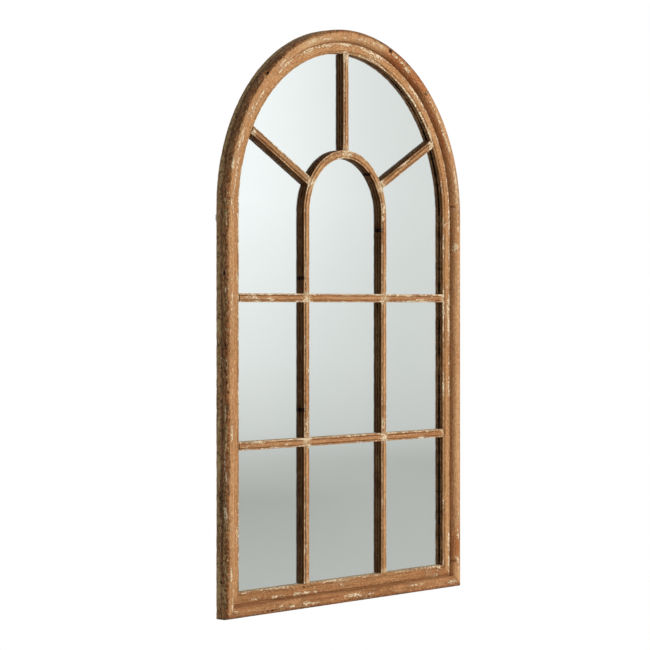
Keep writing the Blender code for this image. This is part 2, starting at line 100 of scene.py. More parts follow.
def quarter(centre, reach, start, end):
    """Points on a quarter of an ellipse, for the round stretches of a section."""
    turns = [start + (end - start) * i / QUARTER_STEPS for i in range(QUARTER_STEPS + 1)]
    return [(centre[0] + reach[0] * math.cos(t), centre[1] - reach[1] * math.sin(t)) for t in turns]


def ease(bm, geom, radius, segments, affect="EDGES"):
    """Round edges or corners off."""
    bmesh.ops.bevel(
        bm, geom=geom, offset=radius, offset_type="OFFSET", segments=segments, profile=0.5, affect=affect,
        material=-1,
    )


def section(points, rounded, start=0.0, radius=EASING):
    """A moulding's end as one face across Z: numbered corners rounded, long edges divided."""
    bm = bmesh.new()
    corners = [bm.verts.new((across, depth, 0)) for across, depth in points]
    bm.faces.new(corners)
    ease(bm, [corners[i] for i in rounded], radius, 3, "VERTICES")
    for edge in bm.edges[:]:
        cuts = int(edge.calc_length() / SECTION_STEP)
        if cuts:
            bmesh.ops.bisect_edges(bm, edges=[edge], cuts=cuts)
    bmesh.ops.translate(bm, vec=(0, 0, start), verts=bm.verts)
    return bm, bm.verts[:] + bm.edges[:] + bm.faces[:]


def carry(bm, end, steps, centre=(0, 0, 0), axis=(0, 0, 1), reach=(0, 0, 0), angle=0.0):
    """Carry an end on in steps, each a reach further, or all of them one turn round an axis."""
    made = bmesh.ops.spin(bm, geom=end, cent=centre, axis=axis, dvec=reach, angle=angle, steps=steps)
    return made["geom_last"]


def run_straight(bm, end, length, step=RING_STEP):
    """Carry the section on along Z, with a ring of points every few millimetres."""
    steps = max(1, round(length / step))
    return carry(bm, end, steps, reach=(0, 0, length / steps))


def run_round(bm, end, centre, radius, angle):
    """Carry the section on round the centre of an arch."""
    return carry(bm, end, round(angle * radius / RING_STEP), (0, 0, centre), (0, -1, 0), angle=angle)


def run_segment(bm, end, centre, radius, start, stop):
    """Carry the section round an arch from one joint to the next, a glue line short of both."""
    short = GLUE_LINE / radius
    turn = Matrix.Rotation(-(start + short), 4, "Y")
    bmesh.ops.transform(bm, matrix=Matrix.Translation((0, 0, centre)) @ turn, verts=bm.verts)
    run_round(bm, end, centre, radius, stop - start - 2 * short)


def saw(bm, place, away):
    """Saw across the piece and cap the cut. What lies on the away side falls off."""
    everything = bm.verts[:] + bm.edges[:] + bm.faces[:]
    bmesh.ops.bisect_plane(
        bm, geom=everything, dist=ON_THE_CUT, plane_co=place, plane_no=away, clear_outer=True
    )
    bmesh.ops.holes_fill(bm, edges=[edge for edge in bm.edges if edge.is_boundary])


def mitred_rail(points, rounded):
    """A bottom rail of this section, run along Z and mitred at both ends."""
    bm, end = section(points, rounded, -bead_out)
    run_straight(bm, end, 2 * bead_out)
    for side in (-1, 1):
        saw(bm, (bead_out, 0, side * (bead_out - MITRE_GAP)), (-1, 0, side))
    return bm


def swell(value, middle, reach):
    """1 at the middle, falling smoothly to 0 at the reach."""
    near = max(0.0, 1 - abs(value - middle) / reach)
    return near * near * (3 - 2 * near)


def rise(value, start, end):
    """0 up to the start, rising smoothly to 1 at the end."""
    share = min(1.0, max(0.0, (value - start) / (end - start)))
    return share * share * (3 - 2 * share)


def mesh_of(bm, name):
    """The mesh of a finished shape."""
    data = bpy.data.meshes.new(name)
    bm.to_mesh(data)
    bm.free()
    return data


def show(name, data):
    """A new object in the scene."""
    made = bpy.data.objects.new(name, data)
    bpy.context.scene.collection.objects.link(made)
    return made


def hand_over(bm, name, node, surface, body="frame"):
    """Make an object of the piece, and let it stand for its node and ride with its body."""
    bmesh.ops.recalc_face_normals(bm, faces=bm.faces)
    data = mesh_of(bm, name)
    data.shade_smooth()
    data.set_sharp_from_angle(angle=SHARP)
    data.materials.append(surface)
    piece = show(name, data)
    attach(piece, body)
    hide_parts(node)


def marks_near(marks, girth, along):
    """How strongly each kind of mark reaches a place.

    A mark is its girth in mm, its way along in m, its two reaches in mm and its strength."""
    found = dict.fromkeys(("paint", "grey", "knot", "red", "pale", "dirt_and_shade"), 0.0)
    for kind, places in marks.items():
        for at, spot, wide, long, strength in places:
            if abs(along - spot) < long * MM and abs(girth - at * MM) < wide * MM:
                reach = strength * swell(girth, at * MM, wide * MM) * swell(along, spot, long * MM)
                found[kind] = max(found[kind], reach)
    return found


def finish_piece(bm, node, wear_of, arrises, surface, move=None, lie_of=Vector, fibre_of=Vector):
    """Dent the worn arrises, note on every point how it lies, and hand the piece to the frame.

    lie is (across, depth, along) on the moulding and fibre the place in the board it was sawn from, both
    a point's own place on a straight piece. wear is the paint left, the stain with painted shade, the
    greying and bareness, marks the knots, redness, paleness with painted light, and soiling with painted
    shade."""
    name = f"{node.removesuffix('_bottom')}_worn"
    draw = random.Random(name)
    offset = Vector((draw.uniform(1, 9), draw.uniform(1, 9), draw.uniform(1, 9)))
    slant = Matrix.Rotation(draw.uniform(-0.9, 0.9), 3, "Z")
    lie_layer = bm.verts.layers.float_vector.new("lie")
    fibre_layer = bm.verts.layers.float_vector.new("fibre")
    wear_layer = bm.verts.layers.float_color.new("wear")
    marks_layer = bm.verts.layers.float_color.new("marks")
    bmesh.ops.recalc_face_normals(bm, faces=bm.faces)
    bm.normal_update()
    for vert in bm.verts:
        lie = lie_of(vert.co)
        vert[lie_layer] = lie + offset
        vert[fibre_layer] = slant @ fibre_of(vert.co) + offset
        vert[wear_layer], vert[marks_layer] = wear_of(lie)
        knocked = 0.0
        for across, depth, reach in arrises:
            knocked = max(knocked, 1 - math.hypot(lie.x - across, lie.y - depth) / reach)
        spot = Vector((lie.x * 160, lie.y * 160, lie.z * 70)) + offset
        worn = max(0.0, noise.noise(spot) + 0.12) * DENT_DEPTH * knocked
        uneven = max(0.0, noise.noise(spot * 0.37)) * UNEVENNESS
        vert.co -= vert.normal * (worn + uneven)
    if move is not None:
        bmesh.ops.transform(bm, matrix=move, verts=bm.verts)
    hand_over(bm, name, node, surface)


def new_group(name, inputs, outputs):
    """A shader node group with named sockets: its tree, what it is given and what it returns."""
    tree = bpy.data.node_groups.new(name, "ShaderNodeTree")
    for title, kind in inputs:
        tree.interface.new_socket(title, in_out="INPUT", socket_type=kind)
    for title in outputs:
        tree.interface.new_socket(title, in_out="OUTPUT", socket_type="NodeSocketFloat")
    return tree, tree.nodes.new("NodeGroupInput").outputs, tree.nodes.new("NodeGroupOutput").inputs


def put(tree, kind, wires=None, **settings):
    """A node with its settings, and each socket wired to another or set to a value."""
    made = tree.nodes.new(kind)
    for title, value in settings.items():
        setattr(made, title, value)
    for title, value in (wires or {}).items():
        if isinstance(value, bpy.types.NodeSocket):
            tree.links.new(value, made.inputs[title])
        else:
            made.inputs[title].default_value = value
    return made


def tree_of(*values):
    """The tree of the first socket among some sockets and values."""
    return next(value.id_data for value in values if isinstance(value, bpy.types.NodeSocket))


def work_out(operation, first, second=0.0, third=0.0, clamp=False):
    """One step of arithmetic."""
    wires = {0: first, 1: second, 2: third}
    made = put(tree_of(first, second, third), "ShaderNodeMath", wires, operation=operation, use_clamp=clamp)
    return made.outputs[0]


def times(value, factor, plus=None, clamp=False):
    """A value times a factor, plus another value where one is given."""
    if plus is None:
        return work_out("MULTIPLY", value, factor, clamp=clamp)
    return work_out("MULTIPLY_ADD", value, factor, plus, clamp)


def off_middle(value):
    """Noise that swings about nothing, where it swung about a half."""
    return work_out("SUBTRACT", value, 0.5)


def stretch(vector, scale):
    """A vector scaled by a different amount along each axis."""
    wires = {0: vector, 1: scale}
    return put(vector.id_data, "ShaderNodeVectorMath", wires, operation="MULTIPLY").outputs[0]


def mottle(vector, scale, detail=3.0, roughness=0.55):
    """Noise at its own scale along each axis, in repeats per metre."""
    wires = {"Vector": stretch(vector, scale), "Scale": 1.0, "Detail": detail, "Roughness": roughness}
    return put(vector.id_data, "ShaderNodeTexNoise", wires).outputs["Fac"]


def between(value, low, high, way="SMOOTHSTEP"):
    """0 at the low value, 1 at the high one."""
    wires = {"Value": value, "From Min": low, "From Max": high}
    return put(value.id_data, "ShaderNodeMapRange", wires, interpolation_type=way).outputs["Result"]


# how a Mix node numbers its colour sockets
FACTOR, COLOUR_A, COLOUR_B, MIXED_COLOUR = 0, 6, 7, 2


def blend(amount, first, second, way="MIX"):
    """Two colours mixed by an amount."""
    tree = tree_of(amount, first, second)
    wires = {FACTOR: amount, COLOUR_A: first, COLOUR_B: second}
    return put(tree, "ShaderNodeMix", wires, data_type="RGBA", blend_type=way).outputs[MIXED_COLOUR]


def fleck(ground, where, low, high, strength, colour):
    """A ground with flecks of a colour, where a value lies between two others."""
    return blend(times(between(where, low, high), strength), ground, colour)


def srgb(red, green, blue):
    """A colour given as it looks on screen, 0 to 255, as the linear value that shaders take."""
    channels = [level / 255 for level in (red, green, blue)]
    return (*[c / 12.92 if c <= 0.04045 else ((c + 0.055) / 1.055) ** 2.4 for c in channels], 1.0)


def new_finish(name, slot=None):
    """An empty finish and its shader. A finish that this script's pieces wear names its slot."""
    made = bpy.data.materials.new(name)
    made.use_nodes = True
    if slot is not None:
        made["slot"] = slot
    return made, made.node_tree.nodes["Principled BSDF"]


def dress(shader, colour, roughness, height=None, strength=0.0, depth=0.0):
    """Wire a finish's colour and roughness to its shader, and its relief where it has one."""
    tree = shader.id_data
    tree.links.new(colour, shader.inputs["Base Color"])
    tree.links.new(roughness, shader.inputs["Roughness"])
    if height is not None:
        relief = put(tree, "ShaderNodeBump", {"Strength": strength, "Distance": depth, "Height": height})
        tree.links.new(relief.outputs["Normal"], shader.inputs["Normal"])


def figure_group():
    """The figure of sawn pine along the Z of its board: late wood lines, and fine streaks of fibre."""
    tree, given, result = new_group(
        "pine_figure", [("Fibre", "NodeSocketVector")], ["Late Wood", "Streak"]
    )
    fibre = given["Fibre"]
    parts = put(tree, "ShaderNodeSeparateXYZ", {0: fibre}).outputs
    rings = times(mottle(fibre, (26, 26, 4), 2.0), 4.2, times(parts["X"], 230.0))
    share = work_out("FRACT", times(parts["Y"], 80.0, rings))
    late = times(work_out("POWER", share, 2.2), between(share, 1.0, 0.86))
    tree.links.new(late, result["Late Wood"])
    tree.links.new(mottle(fibre, (620, 620, 16), 5.0, 0.62), result["Streak"])
    return tree


def paint_group():
    """What is left of rubbed-back paint: clusters of chips, more of them as Amount grows."""
    tree, given, result = new_group(
        "paint_left", [("Lie", "NodeSocketVector"), ("Amount", "NodeSocketFloat")], ["Mask", "Rim"]
    )
    lie = given["Lie"]
    clusters = mottle(lie, (80, 80, 26), 2.0, 0.5)
    chips = mottle(lie, (250, 250, 140), 5.0, 0.68)
    ragged = mottle(lie, (900, 900, 460), 2.0, 0.6)
    mixed = times(ragged, 0.25, times(chips, 0.5, times(clusters, 0.25)))
    level = work_out("ADD", mixed, given["Amount"])
    broken = between(mottle(lie, (420, 420, 260), 3.0, 0.6), 0.4, 0.47)
    tree.links.new(times(between(level, 0.985, 1.01), broken), result["Mask"])
    tree.links.new(times(between(level, 0.99, 0.965), between(level, 0.92, 0.965)), result["Rim"])
    return tree


pine_figure = figure_group()
paint_left = paint_group()


def stained_pine(name, honey, umber, russet, paint):
    """Pine under a honey stain, darker where the stain went deep and where shade is painted, weathered, with
    specks of old paint.
    """
    made, shader = new_finish(f"worn_{name}", name)
    tree = shader.id_data
    lie = put(tree, "ShaderNodeAttribute", attribute_name="lie").outputs["Vector"]
    fibre = put(tree, "ShaderNodeAttribute", attribute_name="fibre").outputs["Vector"]
    wear = put(tree, "ShaderNodeAttribute", attribute_name="wear").outputs
    marks = put(tree, "ShaderNodeAttribute", attribute_name="marks").outputs
    painted, stained_and_shaded, greyed = put(tree, "ShaderNodeSeparateColor", {0: wear["Color"]}).outputs
    knotted, reddened, paled_and_lit = put(tree, "ShaderNodeSeparateColor", {0: marks["Color"]}).outputs
    late, streak = put(tree, "ShaderNodeGroup", {"Fibre": fibre}, node_tree=pine_figure).outputs
    mask, rim = put(tree, "ShaderNodeGroup", {"Lie": lie, "Amount": painted}, node_tree=paint_left).outputs

    # the wood under its stain
    drift = mottle(fibre, (14, 14, 5), 2.0)
    lines = times(late, 0.52, times(between(streak, 0.44, 0.6), 0.4))
    lines = times(between(drift, 0.42, 0.68), 0.16, lines)
    ground = blend(lines, honey, umber)
    redness = times(off_middle(drift), 0.9, reddened, clamp=True)
    ground = blend(redness, ground, blend(lines, russet, srgb(128, 72, 35)))
    # paleness, which holds painted light on the reveals of lying pieces
    cloud = times(between(mottle(lie, (90, 90, 60), 3.0), 0.3, 0.6), paled_and_lit)
    ground = blend(cloud, ground, srgb(208, 178, 134))
    raw = blend(times(late, 0.55), srgb(200, 168, 126), srgb(156, 118, 78))
    ground = blend(wear["Alpha"], ground, raw)
    rough = mottle(lie, (330, 330, 170), 4.0, 0.7)
    ground = fleck(ground, rough, 0.52, 0.62, 0.75, umber)
    ground = fleck(ground, rough, 0.47, 0.35, 0.6, srgb(232, 192, 146))

    # stain that went in deep, with painted shade in creases, reveals and on shaded arrises, weathering, and
    # dark soiling with painted shade under the rails and by the glass
    uneven = mottle(lie, (130, 130, 20), 4.0, 0.6)
    checks = times(off_middle(mottle(lie, (210, 210, 130), 4.0, 0.7)), 7.0)
    soaked_and_shaded = times(checks, greyed, times(off_middle(uneven), 1.3, stained_and_shaded))
    soaked_and_shaded = times(between(soaked_and_shaded, 0.06, 0.8), stained_and_shaded, clamp=True)
    soaked_and_shaded = times(between(uneven, 0.56, 0.72), times(soaked_and_shaded, 0.25), soaked_and_shaded)
    ground = blend(soaked_and_shaded, ground, blend(1.0, ground, (0.14, 0.104, 0.056, 1), "MULTIPLY"))
    patches = times(mottle(lie, (800, 800, 420), 3.0), 0.3, mottle(lie, (270, 270, 130), 5.0, 0.72))
    patches = times(greyed, 0.5, patches)
    film = times(times(between(patches, 0.91, 0.94), 0.92), between(greyed, 0.02, 0.2))
    weathered = blend(between(streak, 0.4, 0.62), srgb(222, 196, 146), srgb(160, 130, 86))
    ground = blend(film, ground, weathered)
    edge_of_film = times(between(patches, 0.84, 0.89), between(patches, 0.95, 0.91))
    edge_of_film = times(edge_of_film, between(greyed, 0.1, 0.4))
    ground = blend(times(edge_of_film, 0.4), ground, srgb(92, 58, 32))
    pits = between(mottle(lie, (240, 240, 150), 4.0, 0.66), 0.54, 0.59)
    pits = times(pits, between(greyed, 0.08, 0.3))
    ground = blend(times(pits, 0.75), ground, srgb(48, 32, 20))
    # dark soiling, and painted shade at the steps, in the reveals, by the glass and on undersides
    grime_and_shade = times(marks["Alpha"], between(uneven, 0.3, 0.56))
    ground = blend(grime_and_shade, ground, srgb(44, 28, 16))

    # knots, and the paint with the shadow line round each chip
    gnarl = times(off_middle(mottle(lie, (300, 300, 160), 2.0)), 0.5, knotted)
    ground = fleck(ground, gnarl, 0.16, 0.42, 0.7, srgb(112, 62, 32))
    ground = blend(between(gnarl, 0.44, 0.62), ground, srgb(38, 20, 14))
    ground = blend(times(rim, 0.45), ground, srgb(104, 66, 36))
    aged = blend(between(mottle(lie, (620, 620, 260), 3.0), 0.46, 0.66), paint, srgb(206, 170, 120))
    colour = blend(mask, ground, aged)

    dull = times(film, 0.15, times(mask, 0.12, times(streak, 0.22, 0.5)))
    pores = times(streak, -0.5, times(late, 0.35))
    height = times(film, 0.35, times(mask, 0.9, pores))
    height = times(between(gnarl, 0.5, 0.7), -1.2, height)
    shader.inputs["Specular IOR Level"].default_value = 0.1
    dress(shader, colour, dull, height, 0.6, 0.4 * MM)
    return made


outer_wood = stained_pine(
    "outer_wood", srgb(212, 164, 116), srgb(160, 110, 67), srgb(178, 104, 56), srgb(240, 222, 188)
)


def bare_back(depth):
    """1 on the back of the wood, which was never stained."""
    return rise(depth, back - 2 * MM, back - 0.5 * MM)


def outer_wear(marks, redness=0.1, side_stain=0.46, on_crest=0.06, front_stain=0.0):
    """Honey on the front, a side darkened by stain and weathered, paint along the crest of the bead, and
    painted shade in the valley beside the sash.
    """
    def wear(lie):
        out = lie.x - lip
        girth = out + (max(0.0, lie.y - crest) if lie.x > crest_at else 0.0)
        wander = 3.4 * MM * noise.noise(Vector((1.3, 4.1, lie.z * 26)))
        wander += 2.4 * MM * noise.noise(Vector((6.3, 2.1, lie.z * 105)))
        soft = 9 * MM * max(0.0, noise.noise(Vector((9.1, 3.3, lie.z * 7))) + 0.25)
        side = rise(girth + wander, SIDE_FROM - 0.5 * soft, SIDE_FULL + 1.1 * soft)
        # line: a darker band near the front of the side, partly soiling and partly painted shade where the
        # rounding begins
        line = swell(girth + wander, SIDE_LINE, 5 * MM)
        behind = bare_back(lie.y)
        near = marks_near(marks, girth, lie.z)
        hot = 0.14 * noise.noise(Vector((out * 20, 3.1, lie.z * 9)))
        paint = 0.34 + on_crest * swell(out, 38 * MM, 7 * MM) * (1 - side) + 0.01 * side + hot
        paint = min(paint + near["paint"], MOST_PAINT) - 0.4 * behind
        soak = side_stain + 0.34 * line + 0.1 * swell(girth, 58 * MM, 9 * MM)
        # the 0.2 of stain inside the valley beside the sash is painted shade of the valley
        stain = max(0.2 * (1 - rise(out, 26.8 * MM, 29 * MM)), front_stain, side * min(1.0, soak))
        grey = side * (0.38 + 0.18 * rise(girth, 66 * MM, 78 * MM) - 0.2 * line) + 0.7 * hot * side
        grey = max(0.0, grey + near["grey"])
        # the back arris darker, with the listed dark marks, some of which are painted shade on undersides
        grime_and_shade = 0.75 * swell(girth, SIDE_END, 1.6 * MM) + near["dirt_and_shade"]
        warm = redness + near["red"] + 0.7 * side * swell(girth, 53 * MM, 12 * MM)
        worn = (paint, stain * (1 - behind), grey * (1 - behind), behind)
        return worn, (near["knot"], warm, near["pale"], grime_and_shade * (1 - behind))
    return wear


def round_lie(centre, radius, middle=0.0):
    """How a point lies on an arch: its radius off the middle, its depth and the way along."""
    def lie(place):
        angle = math.atan2(place.z - centre, place.x)
        return Vector((math.hypot(place.x, place.z - centre) - middle, place.y, angle * radius))
    return lie


def segment_fibre(centre, angle):
    """The fibres of a sawn segment run straight, square to the middle of its arc."""
    turn = Matrix.Rotation(angle, 3, "Y")
    return lambda place: turn @ (Vector(place) - Vector((0, 0, centre)))


def round_marks(marks, radius, mirrored=False):
    """Marks on an arch, given in degrees, with the way along it in metres."""
    on_arch = {}
    for kind, places in marks.items():
        turned = [(at, 180 - turn if mirrored else turn, *rest) for at, turn, *rest in places]
        on_arch[kind] = [(at, math.radians(turn) * radius, *rest) for at, turn, *rest in turned]
    return on_arch


valley_at = bead_in + VALLEY_WIDTH
crest_at = bead_in + CREST_IN
bead = [(bead_out, back), (bead_in, back), (bead_in, face + VALLEY_DEPTH + VALLEY_FALL)]
bead += [(valley_at, face + VALLEY_DEPTH)]
inward = (crest_at - valley_at, CREST_FALL_IN)
outward = (bead_out - crest_at, CREST_FALL_OUT)
bead += quarter((crest_at, crest + CREST_FALL_IN), inward, math.pi, math.pi / 2)
bead += quarter((crest_at, crest + CREST_FALL_OUT), outward, math.pi / 2, 0)[1:]
bead_arrises = [(bead_out, back, 1.8 * MM), (valley_at, crest + CREST_FALL_IN, 2 * MM)]
bead_arrises += [(crest_at + 1.5 * MM, crest, 4 * MM)]
outer_middle = (bead_in + bead_out) / 2
MIRRORED = Matrix.Scale(-1, 4, (1, 0, 0))

left_marks = {
    "grey": [
        (57, -0.009, 6, 26, 0.3), (56, -0.465, 4, 34, 0.5), (60, -0.66, 10, 150, 0.16),
        (80, -0.080, 8, 12, 0.5), (80, -0.225, 7, 60, 0.2), (79, -0.440, 8, 22, 0.3),
        (79, -0.523, 9, 46, 0.25), (78, -0.775, 11, 60, 0.4), (66, -0.800, 14, 56, 0.3),
        (62, -0.720, 5, 40, 0.3),
    ],
    "paint": [
        (57, -0.009, 6, 26, 0.13), (58, -0.157, 3, 8, 0.22), (54, -0.304, 3, 12, 0.2),
        (58, -0.410, 5, 44, 0.21), (60, -0.520, 5, 44, 0.21), (57, -0.548, 8, 24, 0.16),
        (58, -0.617, 9, 60, 0.15), (38.5, -0.455, 5, 28, 0.28), (40, -0.752, 5, 20, 0.28),
        (36, -0.815, 12, 40, 0.2), (31, -0.790, 7, 22, 0.24), (66, -0.123, 3, 10, 0.3),
    ],
    "red": [(66, -0.66, 26, 240, 0.3)],
    "knot": [(62, -0.123, 7, 11, 1.0), (59, -0.268, 4, 22, 0.7), (70, -0.768, 5, 7, 1.0)],
    # the first dark mark, along the foot, is painted shade on the underside of the stile
    "dirt_and_shade": [
        (66, foot, 26, 6, 0.95), (64, -0.56, 9, 90, 0.45), (70, -0.64, 16, 200, 0.5),
        (68, -0.31, 5, 80, 0.35),
    ],
}
right_marks = {
    "paint": [
        (31, -0.056, 10, 13, 0.5), (34, -0.047, 3, 8, 0.3), (38, -0.012, 5, 14, 0.26),
        (36, -0.725, 5, 18, 0.2), (39, -0.795, 7, 30, 0.24), (33, -0.778, 6, 6, 0.26),
    ],
    "knot": [(38, -0.058, 4, 5, 0.6), (29, -0.786, 8, 8, 0.5), (37, -0.785, 4, 5, 0.6)],
    "pale": [(32, -0.056, 13, 20, 0.45), (33, -0.785, 9, 11, 0.5)],
    "red": [(36, -0.75, 26, 70, 0.9)],
    "dirt_and_shade": [(22, -0.015, 9, 260, 0.2)],
}
for word, move, marks in (("left", MIRRORED, left_marks), ("right", None, right_marks)):
    bm, end = section(bead, BEAD_ROUNDED, foot)
    end = run_straight(bm, end, spring - foot)
    run_round(bm, end, spring, outer_middle, OUTER_JOINTS[0] - GLUE_LINE / outer_middle)
    saw(bm, (bead_out, 0, foot + MITRE_GAP), (-1, 0, -1))
    finish_piece(bm, f"outer_stile_{word}", outer_wear(marks), bead_arrises, outer_wood, move)

LAID = Matrix(((0, 0, 1, 0), (0, 1, 0, 0), (-1, 0, 0, 0), (0, 0, 0, 1)))
rail_place = Matrix.Translation((0, 0, foot + bead_out)) @ LAID
rail_marks = {
    "paint": [
        (39, -0.234, 5, 10, 0.2), (42, -0.290, 4, 50, 0.12), (43, -0.195, 5, 10, 0.3),
        (43, -0.120, 5, 60, 0.14), (37, -0.005, 6, 46, 0.22), (34, 0.240, 6, 70, 0.26),
        (38, 0.360, 9, 36, 0.26), (38, -0.375, 9, 24, 0.2),
    ],
    "knot": [(46, -0.260, 5, 8, 0.95)],
    # the dark line along the whole rail, at the rounding of its underside, is painted shade
    "dirt_and_shade": [(57, 0, 6, 3000, 0.9)],
    "red": [(36, -0.08, 16, 130, 0.35)],
}
bm = mitred_rail(bead, BEAD_ROUNDED)
wear = outer_wear(rail_marks, 0.5, 0.4, 0.03, 0.45)
finish_piece(bm, "outer_rail_bottom", wear, bead_arrises, outer_wood, rail_place)

arch_marks = {
    "paint": [
        (34, 25, 6, 28, 0.3), (33.5, 30, 5, 32, 0.3), (34.5, 35, 4, 34, 0.3), (35.5, 41, 4, 32, 0.3),
        (37, 13, 6, 50, 0.2), (36, 5, 6, 30, 0.2), (35, 58.5, 7, 22, 0.32), (37, 62.5, 6, 18, 0.28),
        (39, 67, 6, 18, 0.28), (39, 75, 7, 34, 0.26), (37, 84, 6, 16, 0.26), (33, 93, 4, 12, 0.2),
        (33.5, 101.5, 4, 40, 0.16), (39.5, 110, 5, 22, 0.28), (45, 166.5, 7, 24, 0.3),
        (36, 127, 7, 50, 0.14), (32, 140, 5, 30, 0.14), (37, 160, 6, 60, 0.12), (37, 176, 7, 26, 0.22),
        (40, 46.4, 5, 6, 0.45), (53, 135.5, 5, 26, 0.16),
    ],
    "pale": [(36, 110, 13, 60, 0.6), (38, 75, 10, 30, 0.5), (45, 166.5, 9, 28, 0.6)],
    "knot": [
        (42, 161.5, 4, 5, 0.8), (28, 3.3, 7, 7, 0.42), (42, 69.5, 9, 12, 0.95), (38, 46.3, 11, 8, 0.8),
        (49, 133.9, 8, 11, 0.9), (70, 152, 5, 8, 0.8), (72, 165, 5, 8, 0.75),
    ],
    "dirt_and_shade": [
        (49, 138, 5, 50, 0.9), (52, 122, 9, 200, 0.75), (52, 152, 8, 170, 0.6), (49, 68, 5, 130, 0.5),
        (28, 48, 5, 60, 0.4), (70, 125, 12, 360, 0.22),
    ],
    "grey": [(78, 140, 10, 300, 0.1), (76, 170, 10, 60, 0.15)],
    "red": [(34, 64, 30, 84, 1.1), (34, 53, 30, 84, 1.1), (29, 30, 12, 190, 0.7)],
}
wear = outer_wear(round_marks(arch_marks, outer_middle), 0.12)
for number, (start, stop) in enumerate(zip(OUTER_JOINTS, OUTER_JOINTS[1:]), 1):
    bm, end = section(bead, BEAD_ROUNDED)
    run_segment(bm, end, spring, outer_middle, start, stop)
    lie = round_lie(spring, outer_middle)
    fibre = segment_fibre(spring, (start + stop) / 2)
    finish_piece(bm, f"outer_arch_{number}", wear, bead_arrises, outer_wood, None, lie, fibre)


# Sash moulding
# The flat inner moulding, three straight lengths and four sawn segments, with a lowered strip beside
# the opening. The glass lies in the rebate behind it. Paint clings to both of its front edges.
LIP_STRIP = 6 * MM
STRIP_DROP = 1.4 * MM
STRIP_SLOPE = 0.6 * MM
SASH_ARRIS = 0.8 * MM
SASH_ROUNDED = (0, 1, 3, 4, 5)
SASH_JOINT_DROP = 15 * MM
SASH_JOINT_SHARES = (0.236, 0.478, 0.764)
GLASS_ROOM = 0.5 * MM
REVEAL_FROM = 2.4 * MM

reveal_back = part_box("bar_cross_upper")[1][1]
glass_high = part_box("mirror_glass")[1]
sash_out = sash_high[0]
rebate = glass_high[0] + GLASS_ROOM
sash_middle = (lip + sash_out) / 2
sash = [(lip, reveal_back), (lip, face + STRIP_DROP + STRIP_SLOPE), (lip + LIP_STRIP, face + STRIP_DROP)]
sash += [(lip + LIP_STRIP, face), (sash_out - SASH_ARRIS, face), (sash_out, face + SASH_ARRIS)]
sash += [(sash_out, back), (rebate, back), (rebate, reveal_back)]
sash_arrises = [(lip, face + STRIP_DROP, 2.5 * MM), (lip + LIP_STRIP, face, 2 * MM), (sash_out, face, 3 * MM)]

sash_wood = stained_pine(
    "sash_wood", srgb(205, 154, 105), srgb(154, 105, 63), srgb(164, 102, 56), srgb(242, 226, 194)
)


def sash_wear(marks, redness=0.1, on_edge=0.1, reveal_stain_and_shade=1.0, front_stain=0.0):
    """Paint on the strip beside the opening and on the outer arris. The reveal is darker, partly stain and
    partly painted shade; on lying pieces it is paler instead, with more paint, a painted light. The step
    has painted shade.
    """
    def wear(lie):
        out = lie.x - lip
        reveal = rise(lie.y, face + REVEAL_FROM, face + 4 * MM)
        inside = rise(lie.y, face + 5 * MM, face + 9 * MM)
        by_glass = swell(lie.y, reveal_back, 3.6 * MM)
        strip = 1 - rise(out, 4.6 * MM, 6.4 * MM)
        # step: the step beside the lowered strip, darkened with stain as painted shade
        step = swell(out, LIP_STRIP + 0.4 * MM, 1.3 * MM)
        edge = rise(out, 13 * MM, 19 * MM)
        # sides: the reveal darkened, partly stain and partly painted shade; lit: the reveal of a lying piece
        # painted paler, with more paint, as painted light
        sides = reveal * reveal_stain_and_shade
        lit = reveal * (1 - reveal_stain_and_shade)
        behind = bare_back(lie.y)
        front = 1 - behind
        near = marks_near(marks, out, lie.z)
        hot = 0.15 * noise.noise(Vector((out * 20, 7.7, lie.z * 10)))
        paint = min(0.35 + 0.09 * strip + on_edge * edge + near["paint"] + hot, MOST_PAINT)
        paint += 0.16 * lit - 0.3 * behind - (0.1 + 0.2 * inside) * sides
        stain = max(0.45 * step, (0.84 - 0.42 * inside) * sides, front_stain, 0.4 * strip * (1 - reveal))
        # darker by the glass in the reveal and at the step: painted shade
        grime_and_shade = by_glass * sides + 0.25 * step + near["dirt_and_shade"]
        pale = near["pale"] * (1 - reveal) + 0.8 * lit
        worn = (paint, stain * front, 0.3 * sides * front, behind)
        return worn, (near["knot"], redness + near["red"], pale, grime_and_shade * front)
    return wear


left_marks = {
    "paint": [
        (3, -0.150, 5, 60, 0.18), (3, -0.660, 5, 50, 0.18), (21, -0.800, 8, 40, 0.22),
        (3, -0.03, 5, 50, 0.14), (8, 0.008, 4, 18, 0.24), (8, -0.135, 4, 34, 0.24),
        (8, -0.675, 4, 54, 0.24),
    ],
}
right_marks = {
    "paint": [
        (22, -0.072, 5, 26, 0.3), (18, -0.190, 7, 30, 0.3), (14, -0.152, 5, 14, 0.28),
        (3, -0.182, 5, 44, 0.22), (3, -0.058, 4, 9, 0.24), (20, -0.74, 7, 80, 0.2),
        (20, 0.002, 9, 22, 0.24), (7, 0.003, 9, 14, 0.3),
    ],
    # the dark marks on the lowered strip are partly painted shade of the strip
    "dirt_and_shade": [(2, -0.70, 5, 230, 0.42), (2, -0.10, 5, 200, 0.22)],
}
for word, move, marks, on_edge in (("left", MIRRORED, left_marks, 0.05), ("right", None, right_marks, 0.12)):
    bm, end = section(sash, SASH_ROUNDED, foot)
    run_straight(bm, end, spring - SASH_JOINT_DROP - GLUE_LINE - foot)
    saw(bm, (bead_out, 0, foot + MITRE_GAP), (-1, 0, -1))
    wear = sash_wear(marks, on_edge=on_edge)
    finish_piece(bm, f"sash_stile_{word}", wear, sash_arrises, sash_wood, move)

